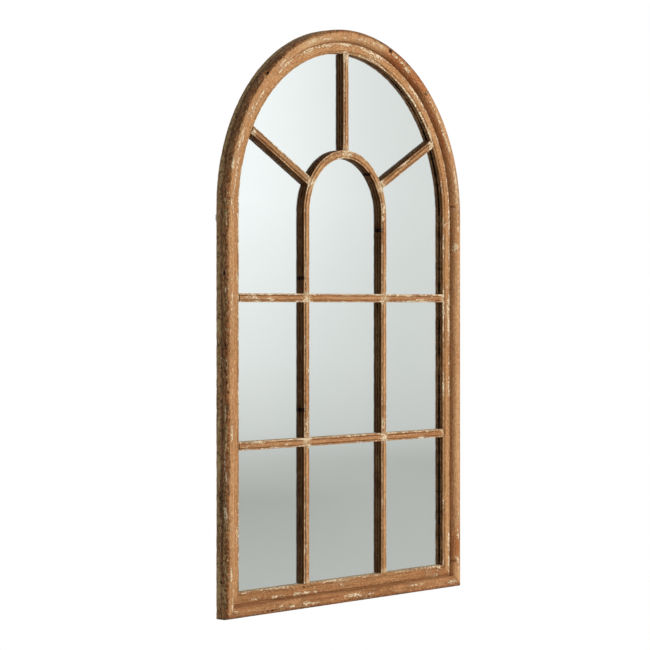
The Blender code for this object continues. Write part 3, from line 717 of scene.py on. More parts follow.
rail_marks = {
    "paint": [
        (3, -0.328, 3.5, 20, 0.12), (18, -0.302, 5, 24, 0.3), (18, -0.240, 4.5, 16, 0.24),
        (19, -0.150, 7, 50, 0.28), (20, -0.105, 5, 12, 0.24), (2, -0.068, 4, 14, 0.14),
        (10, -0.015, 8, 28, 0.1), (3, 0.110, 4, 20, 0.12), (5, 0.335, 8, 18, 0.14),
    ],
    "knot": [(7, -0.143, 4, 6, 0.95)],
    "pale": [(6, 0.0, 9, 60, 0.4)],
}
bm = mitred_rail(sash, SASH_ROUNDED)
# the rail's reveal faces up and is painted lit: paler, with more paint
wear = sash_wear(rail_marks, 0.5, 0.02, 0.1, 0.34)
finish_piece(bm, "sash_rail_bottom", wear, sash_arrises, sash_wood, rail_place)

arch_marks = {
    "paint": [
        (18, 111, 8, 30, 0.3), (20, 124, 6, 36, 0.3), (17, 136, 4, 10, 0.3), (17, 145.5, 4, 24, 0.22),
        (19, 157, 5, 20, 0.22), (16, 167, 5, 62, 0.22), (22, 104, 5, 24, 0.24), (22, 97, 5, 16, 0.24),
        (20.5, 90.5, 5, 28, 0.22), (23, 68, 2.6, 40, 0.16), (23, 54, 2.6, 90, 0.2), (22, 43.5, 5, 14, 0.26),
        (22, 24, 4, 80, 0.12), (3, 52, 5, 220, 0.12), (4, 33, 7, 36, 0.18), (20, 3, 7, 22, 0.14),
        (4, 90, 7, 16, 0.14), (3, 172, 5, 60, 0.18),
    ],
    "pale": [(12, 86, 14, 9, 0.9), (14, 77.5, 9, 18, 0.7), (15, 109, 8, 12, 0.7), (10, 92, 9, 16, 0.5)],
    "knot": [(8, 36.5, 3, 9, 0.5)],
}
sash_joints = [0, *(share * math.pi for share in SASH_JOINT_SHARES), math.pi]
for number, (start, stop) in enumerate(zip(sash_joints, sash_joints[1:]), 1):
    mirrored = number == 4
    if number in (1, 4):
        bm, end = section(sash, SASH_ROUNDED, spring - SASH_JOINT_DROP + GLUE_LINE)
        end = run_straight(bm, end, SASH_JOINT_DROP - GLUE_LINE)
        run_round(bm, end, spring, sash_middle, stop - start - GLUE_LINE / sash_middle)
        fibre = segment_fibre(spring, (stop - start) / 2)
    else:
        bm, end = section(sash, SASH_ROUNDED)
        run_segment(bm, end, spring, sash_middle, start, stop)
        fibre = segment_fibre(spring, (start + stop) / 2)
    lie = round_lie(spring, sash_middle)
    wear = sash_wear(round_marks(arch_marks, sash_middle, mirrored), 0.12)
    move = MIRRORED if mirrored else None
    finish_piece(bm, f"sash_arch_{number}", wear, sash_arrises, sash_wood, move, lie, fibre)


# Glazing bars
# Two cross bars halved over two upright bars, an inner arch in two halves on the uprights, and three
# spokes. Each has a raised middle with a lowered strip along both edges, where most of the paint is left.
BAR_STRIP = 4 * MM
BAR_EASING = 0.45 * MM
LAP_ROOM = 2 * GLUE_LINE
TOUCHING = 0.01 * MM
SPOKE_ANGLES = {"left": 151, "middle": 90, "right": 29}

bar_low, bar_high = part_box("bar_upright_right")
half_bar = (bar_high[0] - bar_low[0]) / 2
bar_at = (bar_high[0] + bar_low[0]) / 2
inner_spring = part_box("inner_arch_right")[0][2] - GLUE_LINE
lap = (face + reveal_back) / 2


def bar_section(start=0.0, lap_depth=None):
    """A bar's end, with a point on both sides where a half lap will be cut."""
    left = [(-half_bar, face + STRIP_DROP + STRIP_SLOPE), (BAR_STRIP - half_bar, face + STRIP_DROP)]
    left.append((BAR_STRIP - half_bar, face))
    right = [(-across, depth) for across, depth in reversed(left)]
    sides = [] if lap_depth is None else [(half_bar, lap_depth)]
    other = [(-across, depth) for across, depth in sides]
    points = [(-half_bar, reveal_back), *other, *left, *right, *sides, (half_bar, reveal_back)]
    rounded = [i for i, (across, depth) in enumerate(points) if depth in (face, left[0][1])]
    return section(points, rounded, start, BAR_EASING)


def halve(bm, low, high, lap_depth, in_front):
    """Take the front or the back half out of a bar between two places, for a half lap."""
    gone = []
    for face_of_bar in bm.faces:
        middle = face_of_bar.calc_center_median()
        if low < middle.z < high and (middle.y < lap_depth) == in_front:
            gone.append(face_of_bar)
    bmesh.ops.delete(bm, geom=gone, context="FACES")
    edges = [edge for edge in bm.edges if edge.is_boundary]
    floor = [edge for edge in edges if edge.verts[0].co.x * edge.verts[1].co.x > 0]
    floor = [edge for edge in floor if all(abs(vert.co.y - lap_depth) < TOUCHING for vert in edge.verts)]
    bmesh.ops.bridge_loops(bm, edges=floor)
    bmesh.ops.holes_fill(bm, edges=[edge for edge in bm.edges if edge.is_boundary])


def halved_bar(start, crossings, stop, lap_depth, in_front):
    """A bar from its start to its stop, with a half lap at each of its crossings."""
    bm, end = bar_section(start, lap_depth)
    reached = start
    for place in sum(crossings, ()):
        end = run_straight(bm, end, place - reached)
        reached = place
    run_straight(bm, end, stop - reached)
    for low, high in crossings:
        halve(bm, low, high, lap_depth, in_front)
    return bm


bar_wood = stained_pine(
    "bar_wood", srgb(208, 160, 112), srgb(152, 100, 60), srgb(170, 104, 58), srgb(242, 226, 194)
)
bar_arrises = [(side * half_bar, face + STRIP_DROP, 2 * MM) for side in (-1, 1)]
bar_arrises += [(side * (half_bar - BAR_STRIP), face, 1.6 * MM) for side in (-1, 1)]


def bar_wear(spots, paint_and_highlight_side, marks, redness=0.1, shaded=-1, reveal_stain_and_shade=1.0, front_stain=0.0):
    """Paint on the strips, most on one of them, and round the joints that lie at these spots. On lying
    pieces, the slanting spokes and the arch the strip with most paint is the top one, partly a painted
    highlight.

    The sides are darker, partly stain and partly painted shade, and on lying pieces paler with more paint,
    a painted light. Painted shade darkens the steps, and the arris on the shaded side."""
    own = random.Random(str(spots)).uniform(0, 50)
    raised = half_bar - BAR_STRIP

    def wear(lie):
        strip = rise(abs(lie.x), raised - 0.3 * MM, raised + 0.5 * MM)
        # step: the step beside each strip, darkened as painted shade
        step = swell(abs(lie.x), raised - 0.5 * MM, 1.3 * MM)
        reveal = rise(lie.y, face + REVEAL_FROM, face + 3.6 * MM)
        by_glass = swell(lie.y, reveal_back, 6 * MM)
        # sides: the reveals darkened, partly stain and partly painted shade; lit: on lying pieces the reveals
        # painted paler, with more paint, as painted light
        sides = reveal * reveal_stain_and_shade
        lit = reveal * (1 - reveal_stain_and_shade)
        joint = max(swell(lie.z, spot, 20 * MM) for spot in spots)
        # painted shade: the arris on the shaded side darkened, with less paint
        arris = abs(shaded) * swell(lie.x, shaded * half_bar, 1.5 * MM) * (1 - reveal) * (1 - joint)
        near = marks_near(marks, lie.x, lie.z)
        # more paint on one strip; on lying pieces, the slanting spokes and the arch it is the top strip,
        # partly a painted highlight
        strip_paint_and_highlight = 0.12 if lie.x * paint_and_highlight_side > 0 else 0.07
        hot = (0.12 if shaded else 0.08) * noise.noise(Vector((lie.x * 20, 1.7 + own, lie.z * 12)))
        paint = min(0.385 + strip_paint_and_highlight * strip + 0.12 * joint + near["paint"] + hot, MOST_PAINT)
        paint += 0.12 * lit - 0.2 * arris - 0.42 * sides
        soaked_and_shaded = max(0.78 * step * (1 - 0.6 * joint), sides * (0.96 - 0.3 * by_glass), 0.8 * arris)
        # darker at the steps and just inside the reveals: painted shade
        grime_and_shade = 0.4 * step * (1 - joint) + 0.4 * swell(lie.y, face + 4 * MM, 2.5 * MM) * sides
        pale = 0.8 * joint * (1 - reveal) + 0.8 * lit
        worn = (paint, max(front_stain, soaked_and_shaded), 0.04 * reveal, 0)
        return worn, (near["knot"], redness, pale, grime_and_shade)
    return wear


upright_marks = {
    "left": {
        "paint": [
            (-6, -0.10, 4, 60, 0.12), (-6, -0.29, 4, 60, 0.1), (-7, -0.045, 3.5, 60, 0.14),
            (4, -0.275, 4, 26, 0.16), (3, -0.333, 3.5, 20, 0.2), (1, -0.455, 4, 26, 0.14),
            (0, -0.168, 8, 16, 0.12),
        ],
        "knot": [(-9, -0.131, 4, 8, 1.0), (-9, -0.417, 7, 9, 1.0)],
    },
    "right": {
        "knot": [(-8, -0.021, 7, 9, 1.0)],
        "paint": [
            (-4, 0.01, 7, 30, 0.14), (-6, -0.06, 5, 30, 0.12), (-7, -0.34, 4, 60, 0.1),
            (4, -0.12, 4, 50, 0.1), (0, -0.174, 8, 16, 0.14),
        ],
    },
}
crossings = []
for node in ("bar_cross_lower", "bar_cross_upper"):
    low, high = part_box(node)
    crossings.append((low[2] - LAP_ROOM, high[2] + LAP_ROOM))
start = foot + (bead_out - lip) + LAP_ROOM
spots = [(low + high) / 2 for low, high in crossings] + [start]
for word, side in (("left", -1), ("right", 1)):
    bm = halved_bar(start, crossings, inner_spring - GLUE_LINE, lap + GLUE_LINE, True)
    wear = bar_wear(spots, -1, upright_marks[word])
    move = Matrix.Translation((side * bar_at, 0, 0))
    finish_piece(bm, f"bar_upright_{word}", wear, bar_arrises, bar_wood, move)

cross_marks = {
    "lower": {
        "paint": [
            (-6, -0.29, 4, 70, 0.14), (2, -0.20, 4, 14, 0.16), (6, -0.24, 3, 20, 0.16),
            (5, 0.27, 4, 40, 0.14),
        ],
    },
    "upper": {
        "paint": [
            (-1, -0.310, 6, 26, 0.24), (2, -0.248, 5, 24, 0.16), (-5, 0.22, 4, 70, 0.14),
            (4, 0.26, 5, 50, 0.14), (6, 0.24, 4, 130, 0.1), (-7, 0.24, 3, 130, 0.12),
            (0, 0.15, 8, 24, 0.16), (0, -0.132, 8, 16, 0.12),
        ],
    },
}
start = LAP_ROOM - lip
crossings = [(at - half_bar - LAP_ROOM, at + half_bar + LAP_ROOM) for at in (-bar_at, bar_at)]
for word in ("lower", "upper"):
    node = f"bar_cross_{word}"
    low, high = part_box(node)
    bm = halved_bar(start, crossings, -start, lap - GLUE_LINE, False)
    # the cross bars' reveals are painted lit: paler, with more paint
    wear = bar_wear([-bar_at, bar_at, lip], -1, cross_marks[word], 0.45, 0, 0.1)
    move = Matrix.Translation((0, 0, (low[2] + high[2]) / 2)) @ LAID
    finish_piece(bm, node, wear, bar_arrises, bar_wood, move)

arch_marks = {
    "knot": [(-9, 48, 5, 9, 1.0)],
    "paint": [(5, 60, 5, 60, 0.1), (5, 130, 5, 50, 0.12), (-2, 6, 8, 20, 0.12)],
}
spots = [bar_at * math.radians(angle) for angle in sorted(SPOKE_ANGLES.values())]
for word, start, shaded in (("right", 0.0, -1), ("left", math.pi / 2, 1)):
    bm, end = bar_section()
    bmesh.ops.translate(bm, vec=(bar_at, 0, 0), verts=bm.verts)
    run_segment(bm, end, inner_spring, bar_at, start, start + math.pi / 2)
    lie = round_lie(inner_spring, bar_at, bar_at)
    fibre = segment_fibre(inner_spring, start + math.pi / 4)
    wear = bar_wear(spots, 1, round_marks(arch_marks, bar_at), shaded=shaded)
    finish_piece(bm, f"inner_arch_{word}", wear, bar_arrises, bar_wood, None, lie, fibre)

start = bar_at + half_bar + LAP_ROOM
drop = spring - inner_spring
for word, degrees in SPOKE_ANGLES.items():
    angle = math.radians(degrees)
    stop = drop * math.sin(angle) + math.sqrt(lip**2 - (drop * math.cos(angle)) ** 2)
    stop -= lip - math.sqrt(lip**2 - half_bar**2) + 3 * GLUE_LINE
    bm, end = bar_section(start)
    run_straight(bm, end, stop - start)
    # the upper strip of the slanting spokes and the left strip of the middle one take more paint; on the
    # slanting ones it is partly a painted highlight
    paint_and_highlight_side = 1 if word == "left" else -1
    marks = {"paint": [(6 * paint_and_highlight_side, (start + stop) / 2, 5, 90, 0.1), (0, start + 26 * MM, 6, 20, 0.1)]}
    wear = bar_wear([start, stop], paint_and_highlight_side, marks, front_stain=0.2 if word == "middle" else 0.42)
    move = Matrix.Translation((0, 0, inner_spring)) @ Matrix.Rotation(math.pi / 2 - angle, 4, "Y")
    finish_piece(bm, f"spoke_{word}", wear, bar_arrises, bar_wood, move)


# Mirror glass
# One sheet of clear float glass behind all the bars, silvered on its back, so that it shows the bars
# again a little way behind themselves.
SILVERING = 0.2 * MM
SILVER_BITE = 0.05 * MM
WELD = 0.001 * MM


def glass_layer(depth, away):
    """One layer of the sheet of glass, what lies on the away side of the depth taken off."""
    bm = bmesh.new()
    bm.from_mesh(nodes["mirror_glass"].data)
    bmesh.ops.remove_doubles(bm, verts=bm.verts, dist=WELD)
    saw(bm, (0, depth, 0), (0, away, 0))
    return bm


def place_on(shader):
    """Where a point lies on its own piece."""
    return put(shader.id_data, "ShaderNodeTexCoord").outputs["Object"]


clear, shader = new_finish("worn_clear_glass", "mirror")
shader.inputs["Transmission Weight"].default_value = 1
shader.inputs["IOR"].default_value = 1.52
haze = between(mottle(place_on(shader), (5, 5, 3), 4.0), 0.35, 0.75)
dress(shader, blend(haze, (0.992, 1, 0.996, 1), (0.985, 0.993, 0.989, 1)), times(haze, 0.004))
hand_over(glass_layer(glass_high[1] - SILVERING, 1), "mirror_glass_sheet", "mirror_glass", clear)

silvered, shader = new_finish("worn_silvering", "mirror")
shader.inputs["Metallic"].default_value = 1
cloudy = between(mottle(place_on(shader), (4, 4, 3), 4.0), 0.35, 0.75)
tint = blend(cloudy, (0.99, 0.99, 0.985, 1), (0.975, 0.98, 0.975, 1))
dress(shader, tint, times(cloudy, 0.006, 0.003))
bm = glass_layer(glass_high[1] - SILVERING - SILVER_BITE, -1)
hand_over(bm, "mirror_glass_silvering", "mirror_glass", silvered)


# Splines
# Seven small tongues of pine across the joints of the outer moulding, two at the mitres and five in
# the arch. They are glued into sawn slots, and the closed joints hide them.
def give(node, surface):
    """Lay a finish on a piece of the frame."""
    for slot in nodes[node].material_slots:
        slot.material = surface


spline_pine, shader = new_finish("spline_pine")
late, streak = put(
    shader.id_data, "ShaderNodeGroup", {"Fibre": place_on(shader)}, node_tree=pine_figure
).outputs
lines = times(late, 0.6, streak)
colour = blend(between(lines, 0.3, 1.1), srgb(214, 184, 140), srgb(164, 122, 78))
dress(shader, colour, times(streak, 0.25, 0.55), lines, 0.4, 0.2 * MM)
for node in nodes:
    if node.startswith("spline_"):
        give(node, spline_pine)


# Packing sheet
# Grey chipboard card between the glass and the backing board, flecked with the fibres of waste paper.
# It is cut to the arch and lies loose, so that the board doesn't press on the silvering.
card, shader = new_finish("packing_board")
spot = place_on(shader)
flecks = mottle(spot, (900, 900, 420), 3.0, 0.7)
cloudy = mottle(spot, (40, 40, 40), 3.0)
pulp = blend(between(cloudy, 0.35, 0.65), srgb(158, 150, 136), srgb(142, 132, 116))
pulp = fleck(pulp, flecks, 0.6, 0.72, 0.6, srgb(96, 86, 74))
pulp = fleck(pulp, flecks, 0.38, 0.28, 0.5, srgb(198, 192, 178))
dress(shader, pulp, times(flecks, 0.15, 0.78), flecks, 0.35, 0.15 * MM)
give("packing_sheet", card)


# Backing board
# Brown hardboard, its smooth side out, cut to the arch. Its surface is cloudy and flecked with fibres,
# and handling has left pale scuffs on it.
hardboard, shader = new_finish("backing_hardboard")
spot = place_on(shader)
fibres = mottle(spot, (700, 700, 260), 4.0, 0.7)
strands = mottle(spot, (260, 260, 1200), 3.0, 0.65)
cloudy = mottle(spot, (5, 5, 14), 5.0, 0.65)
scuffs = mottle(spot, (16, 16, 150), 5.0, 0.72)
pressed = blend(between(cloudy, 0.34, 0.66), srgb(164, 122, 84), srgb(148, 106, 70))
pressed = fleck(pressed, fibres, 0.5, 0.72, 0.5, srgb(104, 70, 44))
pressed = fleck(pressed, strands, 0.56, 0.7, 0.45, srgb(178, 138, 96))
worn_light = times(between(scuffs, 0.64, 0.74), 0.5)
pressed = blend(worn_light, pressed, srgb(186, 154, 116))
dull = times(worn_light, 0.4, times(fibres, 0.3, 0.36))
shader.inputs["Specular IOR Level"].default_value = 0.4
dress(shader, pressed, dull, times(strands, 0.5, fibres), 0.3, 0.12 * MM)
give("backing_board", hardboard)


# Board screws
# Thirteen countersunk steel screws with a cross recess, zinc plated and passivated yellow, driven
# through the board into the sash behind its rebate.
BOARD_SCREWS = 13
HEAD_RADIUS = 3.15 * MM
HEAD_EDGE = 0.15 * MM
COUNTERSINK = 1.8 * MM
BOARD_SCREW_LENGTH = 14 * MM
POINT = 3 * MM
CORE = 1 * MM
NECK = 1.3 * CORE
THREAD = 1.45 * MM
THREAD_FROM = 0.7 * MM
THREAD_SUNK = 0.1 * MM
PITCH = 1.3 * MM
THREAD_STEPS = 14
TURNED_STEPS = 28
RECESS_REACH = 1.75 * MM
RECESS_WIDTH = 0.62 * MM
RECESS_DEPTH = 1.25 * MM
RECESS_TAPER = 0.45
FACING_BACK = Matrix.Rotation(-math.pi / 2, 4, "X")


def turn_round(profile, steps=TURNED_STEPS):
    """A turned solid from half its outline, its points given as (radius, height)."""
    bm = bmesh.new()
    points = [bm.verts.new((radius, 0, height)) for radius, height in profile]
    edges = [bm.edges.new(pair) for pair in zip(points, points[1:])]
    bmesh.ops.spin(
        bm, geom=points + edges, cent=(0, 0, 0), axis=(0, 0, 1), dvec=(0, 0, 0), angle=2 * math.pi,
        steps=steps, use_merge=True,
    )
    bmesh.ops.remove_doubles(bm, verts=bm.verts, dist=WELD)
    bmesh.ops.recalc_face_normals(bm, faces=bm.faces)
    return bm


def wind_thread(bm, core, radius, low, high):
    """Wind a thread up the core, fading out at the point."""
    before = set(bm.verts)
    inside = core - THREAD_SUNK
    ridge = [(inside, low - 0.3 * PITCH), (radius, low), (inside, low + 0.3 * PITCH)]
    corners = [bm.verts.new((across, 0, height)) for across, height in ridge]
    end = bm.faces.new(corners)
    turns = (high - low) / PITCH
    steps = round(turns * THREAD_STEPS)
    climb = (0, 0, (high - low) / steps)
    carry(bm, [*corners, *end.edges, end], steps, reach=climb, angle=2 * math.pi * turns)
    for vert in bm.verts:
        if vert not in before:
            shrink = min(1.0, max(0.15, (vert.co.z - low + 0.4 * MM) / POINT))
            vert.co.x *= shrink
            vert.co.y *= shrink
    bmesh.ops.recalc_face_normals(bm, faces=bm.faces)


def carve(bm, tool):
    """The piece with the tool's shape cut out of it."""
    holders = [show(name, mesh_of(shape, name)) for name, shape in (("carved", bm), ("tool", tool))]
    cut = holders[0].modifiers.new("cut", "BOOLEAN")
    cut.operation = "DIFFERENCE"
    cut.solver = "EXACT"
    cut.use_self = True
    cut.object = holders[1]
    settled = holders[0].evaluated_get(bpy.context.evaluated_depsgraph_get())
    carved = bmesh.new()
    carved.from_mesh(settled.to_mesh())
    for holder in holders:
        data = holder.data
        bpy.data.objects.remove(holder)
        bpy.data.meshes.remove(data)
    bmesh.ops.remove_doubles(carved, verts=carved.verts, dist=WELD)
    return carved


def cross_recess(top):
    """The blades of a cross-head bit, narrowing downwards."""
    bm = bmesh.new()
    for turn in (0, math.pi / 2):
        height = RECESS_DEPTH + MM
        lift = Matrix.Translation((0, 0, top + MM - height / 2))
        size = Matrix.Diagonal((2 * RECESS_REACH, RECESS_WIDTH, height, 1))
        blade = bmesh.ops.create_cube(bm, size=1, matrix=Matrix.Rotation(turn, 4, "Z") @ lift @ size)
        lower = [vert for vert in blade["verts"] if vert.co.z < top - RECESS_DEPTH / 2]
        bmesh.ops.scale(bm, vec=(RECESS_TAPER, RECESS_TAPER, 1), verts=lower)
    return bm


def plated_steel(name, slot, bright, tint):
    """Zinc-plated steel, cloudy, with brown tarnish in spots and fine scratches."""
    made, shader = new_finish(name, slot)
    shader.inputs["Metallic"].default_value = 1
    spot = place_on(shader)
    cloudy = mottle(spot, (260, 260, 260), 3.0)
    scratches = mottle(spot, (2600, 2600, 180), 2.0, 0.7)
    spots = mottle(spot, (620, 620, 620), 4.0, 0.7)
    tarnish = times(between(spots, 0.6, 0.72), 0.8)
    skin = blend(tarnish, blend(between(cloudy, 0.36, 0.64), bright, tint), srgb(120, 82, 52))
    dull = times(tarnish, 0.3, times(scratches, 0.22, 0.24))
    dress(shader, skin, dull, times(spots, 0.6, scratches), 0.2, 0.05 * MM)
    return made


def seat(low, high, depth):
    """Where a turned piece goes: in the middle of its box, at a depth, its top towards the wall."""
    return Matrix.Translation(((low[0] + high[0]) / 2, depth, (low[2] + high[2]) / 2)) @ FACING_BACK


def drive(screw, node, proud):
    """Drive a screw where its node is, its head standing proud by so much, its recess turned by chance."""
    low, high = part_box(node)
    bm = screw.copy()
    turn = Matrix.Rotation(draw.uniform(0, math.pi), 4, "Z")
    bmesh.ops.transform(bm, matrix=seat(low, high, high[1] - proud) @ turn, verts=bm.verts)
    hand_over(bm, f"{node}_plated", node, screw_steel)


screw_steel = plated_steel("worn_screw_steel", "screw_steel", srgb(214, 196, 150), srgb(196, 164, 104))
head = [(0, 0), (HEAD_RADIUS - HEAD_EDGE, 0), (HEAD_RADIUS, -HEAD_EDGE), (HEAD_RADIUS, -2 * HEAD_EDGE)]
shank = [(NECK, -COUNTERSINK), (NECK, -COUNTERSINK - MM), (CORE, -COUNTERSINK - 1.4 * MM)]
shank += [(CORE, POINT - BOARD_SCREW_LENGTH), (0, -BOARD_SCREW_LENGTH)]
board_screw = carve(turn_round(head + shank), cross_recess(0))
wind_thread(board_screw, CORE, THREAD, THREAD_FROM - BOARD_SCREW_LENGTH, -COUNTERSINK - 1.6 * MM)
draw = random.Random(13)
for number in range(1, BOARD_SCREWS + 1):
    drive(board_screw, f"board_screw_{number:02d}", 0)
board_screw.free()


# Strap hangers
# A strip of plated steel behind each ring, curled round the ring's straight leg, its foot rounded off
# and two holes punched for its screws.
STRAP_UNDER_HEAD = 2.4 * MM
STRAP_ROUNDING = 3 * MM
STRAP_EDGE = 0.18 * MM
STRAP_HOLE = 1.85 * MM
STRAP_CORNER = 0.9
PUNCH_LENGTH = 6 * MM
PUNCH_SIDES = 24
CURL_ANGLE = math.radians(250)
CURL_STEPS = 30

hanger_steel = plated_steel("worn_hanger_steel", "hanger_steel", srgb(206, 206, 200), srgb(176, 174, 166))
pivot_low, pivot_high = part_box("hanger_ring_right")
pivot_depth = (pivot_low[1] + pivot_high[1]) / 2

for word in ("left", "right"):
    node = f"hanger_strap_{word}"
    low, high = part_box(node)
    screws = [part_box(f"hanger_screw_{word}_{row}") for row in ("upper", "lower")]
    strap_back = screws[0][1][1] - STRAP_UNDER_HEAD
    bm = bmesh.new()
    outline = [(low[0], low[1]), (high[0], low[1]), (high[0], strap_back), (low[0], strap_back)]
    corners = [bm.verts.new((across, depth, low[2])) for across, depth in outline]
    strip = bm.faces.new(corners)
    end = run_straight(bm, [*corners, *strip.edges, strip], -low[2], -low[2])
    carry(bm, end, CURL_STEPS, (0, pivot_depth, 0), (1, 0, 0), angle=-CURL_ANGLE)
    foot_corners = [
        edge
        for edge in bm.edges
        if all(vert.co.z < low[2] + TOUCHING for vert in edge.verts)
        and abs(edge.verts[0].co.x - edge.verts[1].co.x) < TOUCHING
    ]
    ease(bm, foot_corners, STRAP_ROUNDING, 6)
    bmesh.ops.recalc_face_normals(bm, faces=bm.faces)
    sharp = [edge for edge in bm.edges if edge.is_manifold and edge.calc_face_angle() > STRAP_CORNER]
    ease(bm, sharp, STRAP_EDGE, 2)
    punch = bmesh.new()
    for screw_low, screw_high in screws:
        place = seat((low[0], 0, screw_low[2]), (high[0], 0, screw_high[2]), strap_back)
        bmesh.ops.create_cone(
            punch, cap_ends=True, segments=PUNCH_SIDES, radius1=STRAP_HOLE, radius2=STRAP_HOLE,
            depth=PUNCH_LENGTH, matrix=place,
        )
    hand_over(carve(bm, punch), f"{node}_bent", node, hanger_steel)


# Rings
# A D-ring of round steel wire in each strap, its two ends butted inside the curl. It swings up to hang
# the mirror from a hook and falls back against the frame.
RING_CORNER = 2.5 * MM
RING_LEG = 6 * MM
BUTT = 0.1 * MM
WIRE_SIDES = 16
CORNER_STEPS = 8
BOW_STEPS = 36

wire = (pivot_high[1] - pivot_low[1]) / 2
flat = (pivot_high[0] - pivot_low[0]) / 2 - wire - RING_CORNER


def draw_on(bm, end, reach):
    """Run the wire straight on, in two steps."""
    return carry(bm, end, 2, reach=[length / 2 for length in reach])


for word in ("left", "right"):
    node = f"hanger_ring_{word}"
    low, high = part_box(node)
    middle = (low[0] + high[0]) / 2
    bm = bmesh.new()
    across = Matrix.Translation((middle + BUTT, pivot_depth, 0)) @ Matrix.Rotation(math.pi / 2, 4, "Y")
    bmesh.ops.create_circle(bm, cap_ends=True, segments=WIRE_SIDES, radius=wire, matrix=across)
    end = bm.verts[:] + bm.edges[:] + bm.faces[:]
    stretches = [
        ((flat - BUTT, 0, 0), (middle + flat, pivot_depth, -RING_CORNER), math.pi / 2, CORNER_STEPS),
        ((0, 0, -RING_LEG), (middle, pivot_depth, -RING_CORNER - RING_LEG), math.pi, BOW_STEPS),
        ((0, 0, RING_LEG), (middle - flat, pivot_depth, -RING_CORNER), math.pi / 2, CORNER_STEPS),
    ]
    for reach, centre, angle, steps in stretches:
        end = draw_on(bm, end, reach)
        end = carry(bm, end, steps, centre, (0, 1, 0), angle=angle)
    draw_on(bm, end, (flat - BUTT, 0, 0))
    hand_over(bm, f"{node}_wire", node, hanger_steel, f"ring_{word}")


# Hanger screws
# Four pan head screws with a cross recess, plated like those of the board. They go through the holes
# of the straps into the stiles.
PAN_RADIUS = 3.2 * MM
PAN_HEIGHT = 1.8 * MM
PAN_EDGE = 0.5 * MM
PAN_CROWN = 1.6 * MM
PAN_CORE = 1.1 * CORE
HANGER_SCREW_LENGTH = 18 * MM

crown_reach = (PAN_CROWN, PAN_HEIGHT - PAN_EDGE)
crown = quarter((PAN_RADIUS - PAN_CROWN, PAN_EDGE - PAN_HEIGHT), crown_reach, math.pi / 2, 0)
pan = [(0, PAN_HEIGHT), *[(radius, min(PAN_HEIGHT, -depth)) for radius, depth in crown]]
pan += [(PAN_RADIUS, 0), (CORE * 1.4, 0), (CORE * 1.4, -2 * MM), (PAN_CORE, -2.4 * MM)]
pan += [(PAN_CORE, POINT - HANGER_SCREW_LENGTH), (0, -HANGER_SCREW_LENGTH)]
hanger_screw = carve(turn_round(pan), cross_recess(PAN_HEIGHT))
wind_thread(hanger_screw, PAN_CORE, THREAD * 1.08, THREAD_FROM - HANGER_SCREW_LENGTH, -2.6 * MM)
for word in ("left", "right"):
    for row in ("upper", "lower"):
        drive(hanger_screw, f"hanger_screw_{word}_{row}", PAN_HEIGHT)
hanger_screw.free()


# Bumpers
# Two buttons of dark rubber, moulded with a round rim and stuck low on the stiles. They touch the wall
# and keep the mirror upright.
BUMPER_EDGE = 1.2 * MM
BUMPER_STEPS = 48

rubber, shader = new_finish("worn_bumper_rubber", "bumper_rubber")
spot = place_on(shader)
dust = mottle(spot, (240, 240, 240), 4.0, 0.65)
grain = mottle(spot, (2200, 2200, 2200), 2.0)
colour = fleck(srgb(54, 51, 48), dust, 0.48, 0.7, 0.5, srgb(126, 118, 106))
dress(shader, colour, times(dust, 0.25, 0.58), grain, 0.25, 0.05 * MM)
for word in ("left", "right"):
    node = f"bumper_{word}"
    low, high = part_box(node)
    radius = (high[0] - low[0]) / 2
    tall = high[1] - low[1]
    rim = quarter((radius - BUMPER_EDGE, BUMPER_EDGE - tall), (BUMPER_EDGE, BUMPER_EDGE), math.pi / 2, 0)
    half = [(0, tall), *[(across, -depth) for across, depth in rim]]
    half += [(radius, 0.5 * MM), (radius - 0.4 * MM, 0), (0, 0)]
    bm = turn_round(half, BUMPER_STEPS)
    bmesh.ops.transform(bm, matrix=seat(low, high, low[1]), verts=bm.verts)
    hand_over(bm, f"{node}_moulded", node, rubber)


# Camera
# A long lens far in front of the mirror and to its left, level, with the picture shifted down a little.
camera = show("camera", bpy.data.cameras.new("camera"))
camera.data.lens = 130.3
camera.data.sensor_width = 36
camera.data.shift_y = -20 / 650
camera.location = (-3.972, -3.390, -0.1894)
camera.rotation_euler = (math.pi / 2, 0, math.radians(-49.2))
bpy.context.scene.camera = camera


# Studio
# A pale floor well below the hung mirror, a large soft lamp high on the right, a weaker one for its
# back, and a dim room, whose far walls only the glass shows.
AMBIENT = 0.3
FORWARD = (0.757, -0.653, 0)
SIDEWAYS = (0.653, 0.757, 0)
NEAR_WALL = ((-0.115, 184), (-0.083, 173), (-0.066, 193), (-0.053, 211), (-0.023, 229), (0.045, 251))
FAR_WALL = ((-0.115, 188), (-0.083, 184), (-0.066, 182), (-0.053, 200), (-0.023, 211), (0.045, 222))
WALL_LOW, WALL_HIGH = -0.13, 0.07
CORNER_SOFTNESS = 0.045
WHITE = (1, 1, 1, 1)
LAMP_SIZE = 2.6
LIT_SPOT = Vector((0, 0, -0.2))
LAMPS = {"key": (172, (1.75, -4.1, 1.1)), "fill": (110, (1.9, 3.7, 1.3))}
FLOOR_DROP = 0.6
FLOOR_REACH = 3.3
FLOOR_SIDES = 96
FADE_FROM = 0.9
FADE_TO = 0.97 * FLOOR_REACH

world = bpy.data.worlds.new("studio")
bpy.context.scene.world = world
world.use_nodes = True
sky = world.node_tree


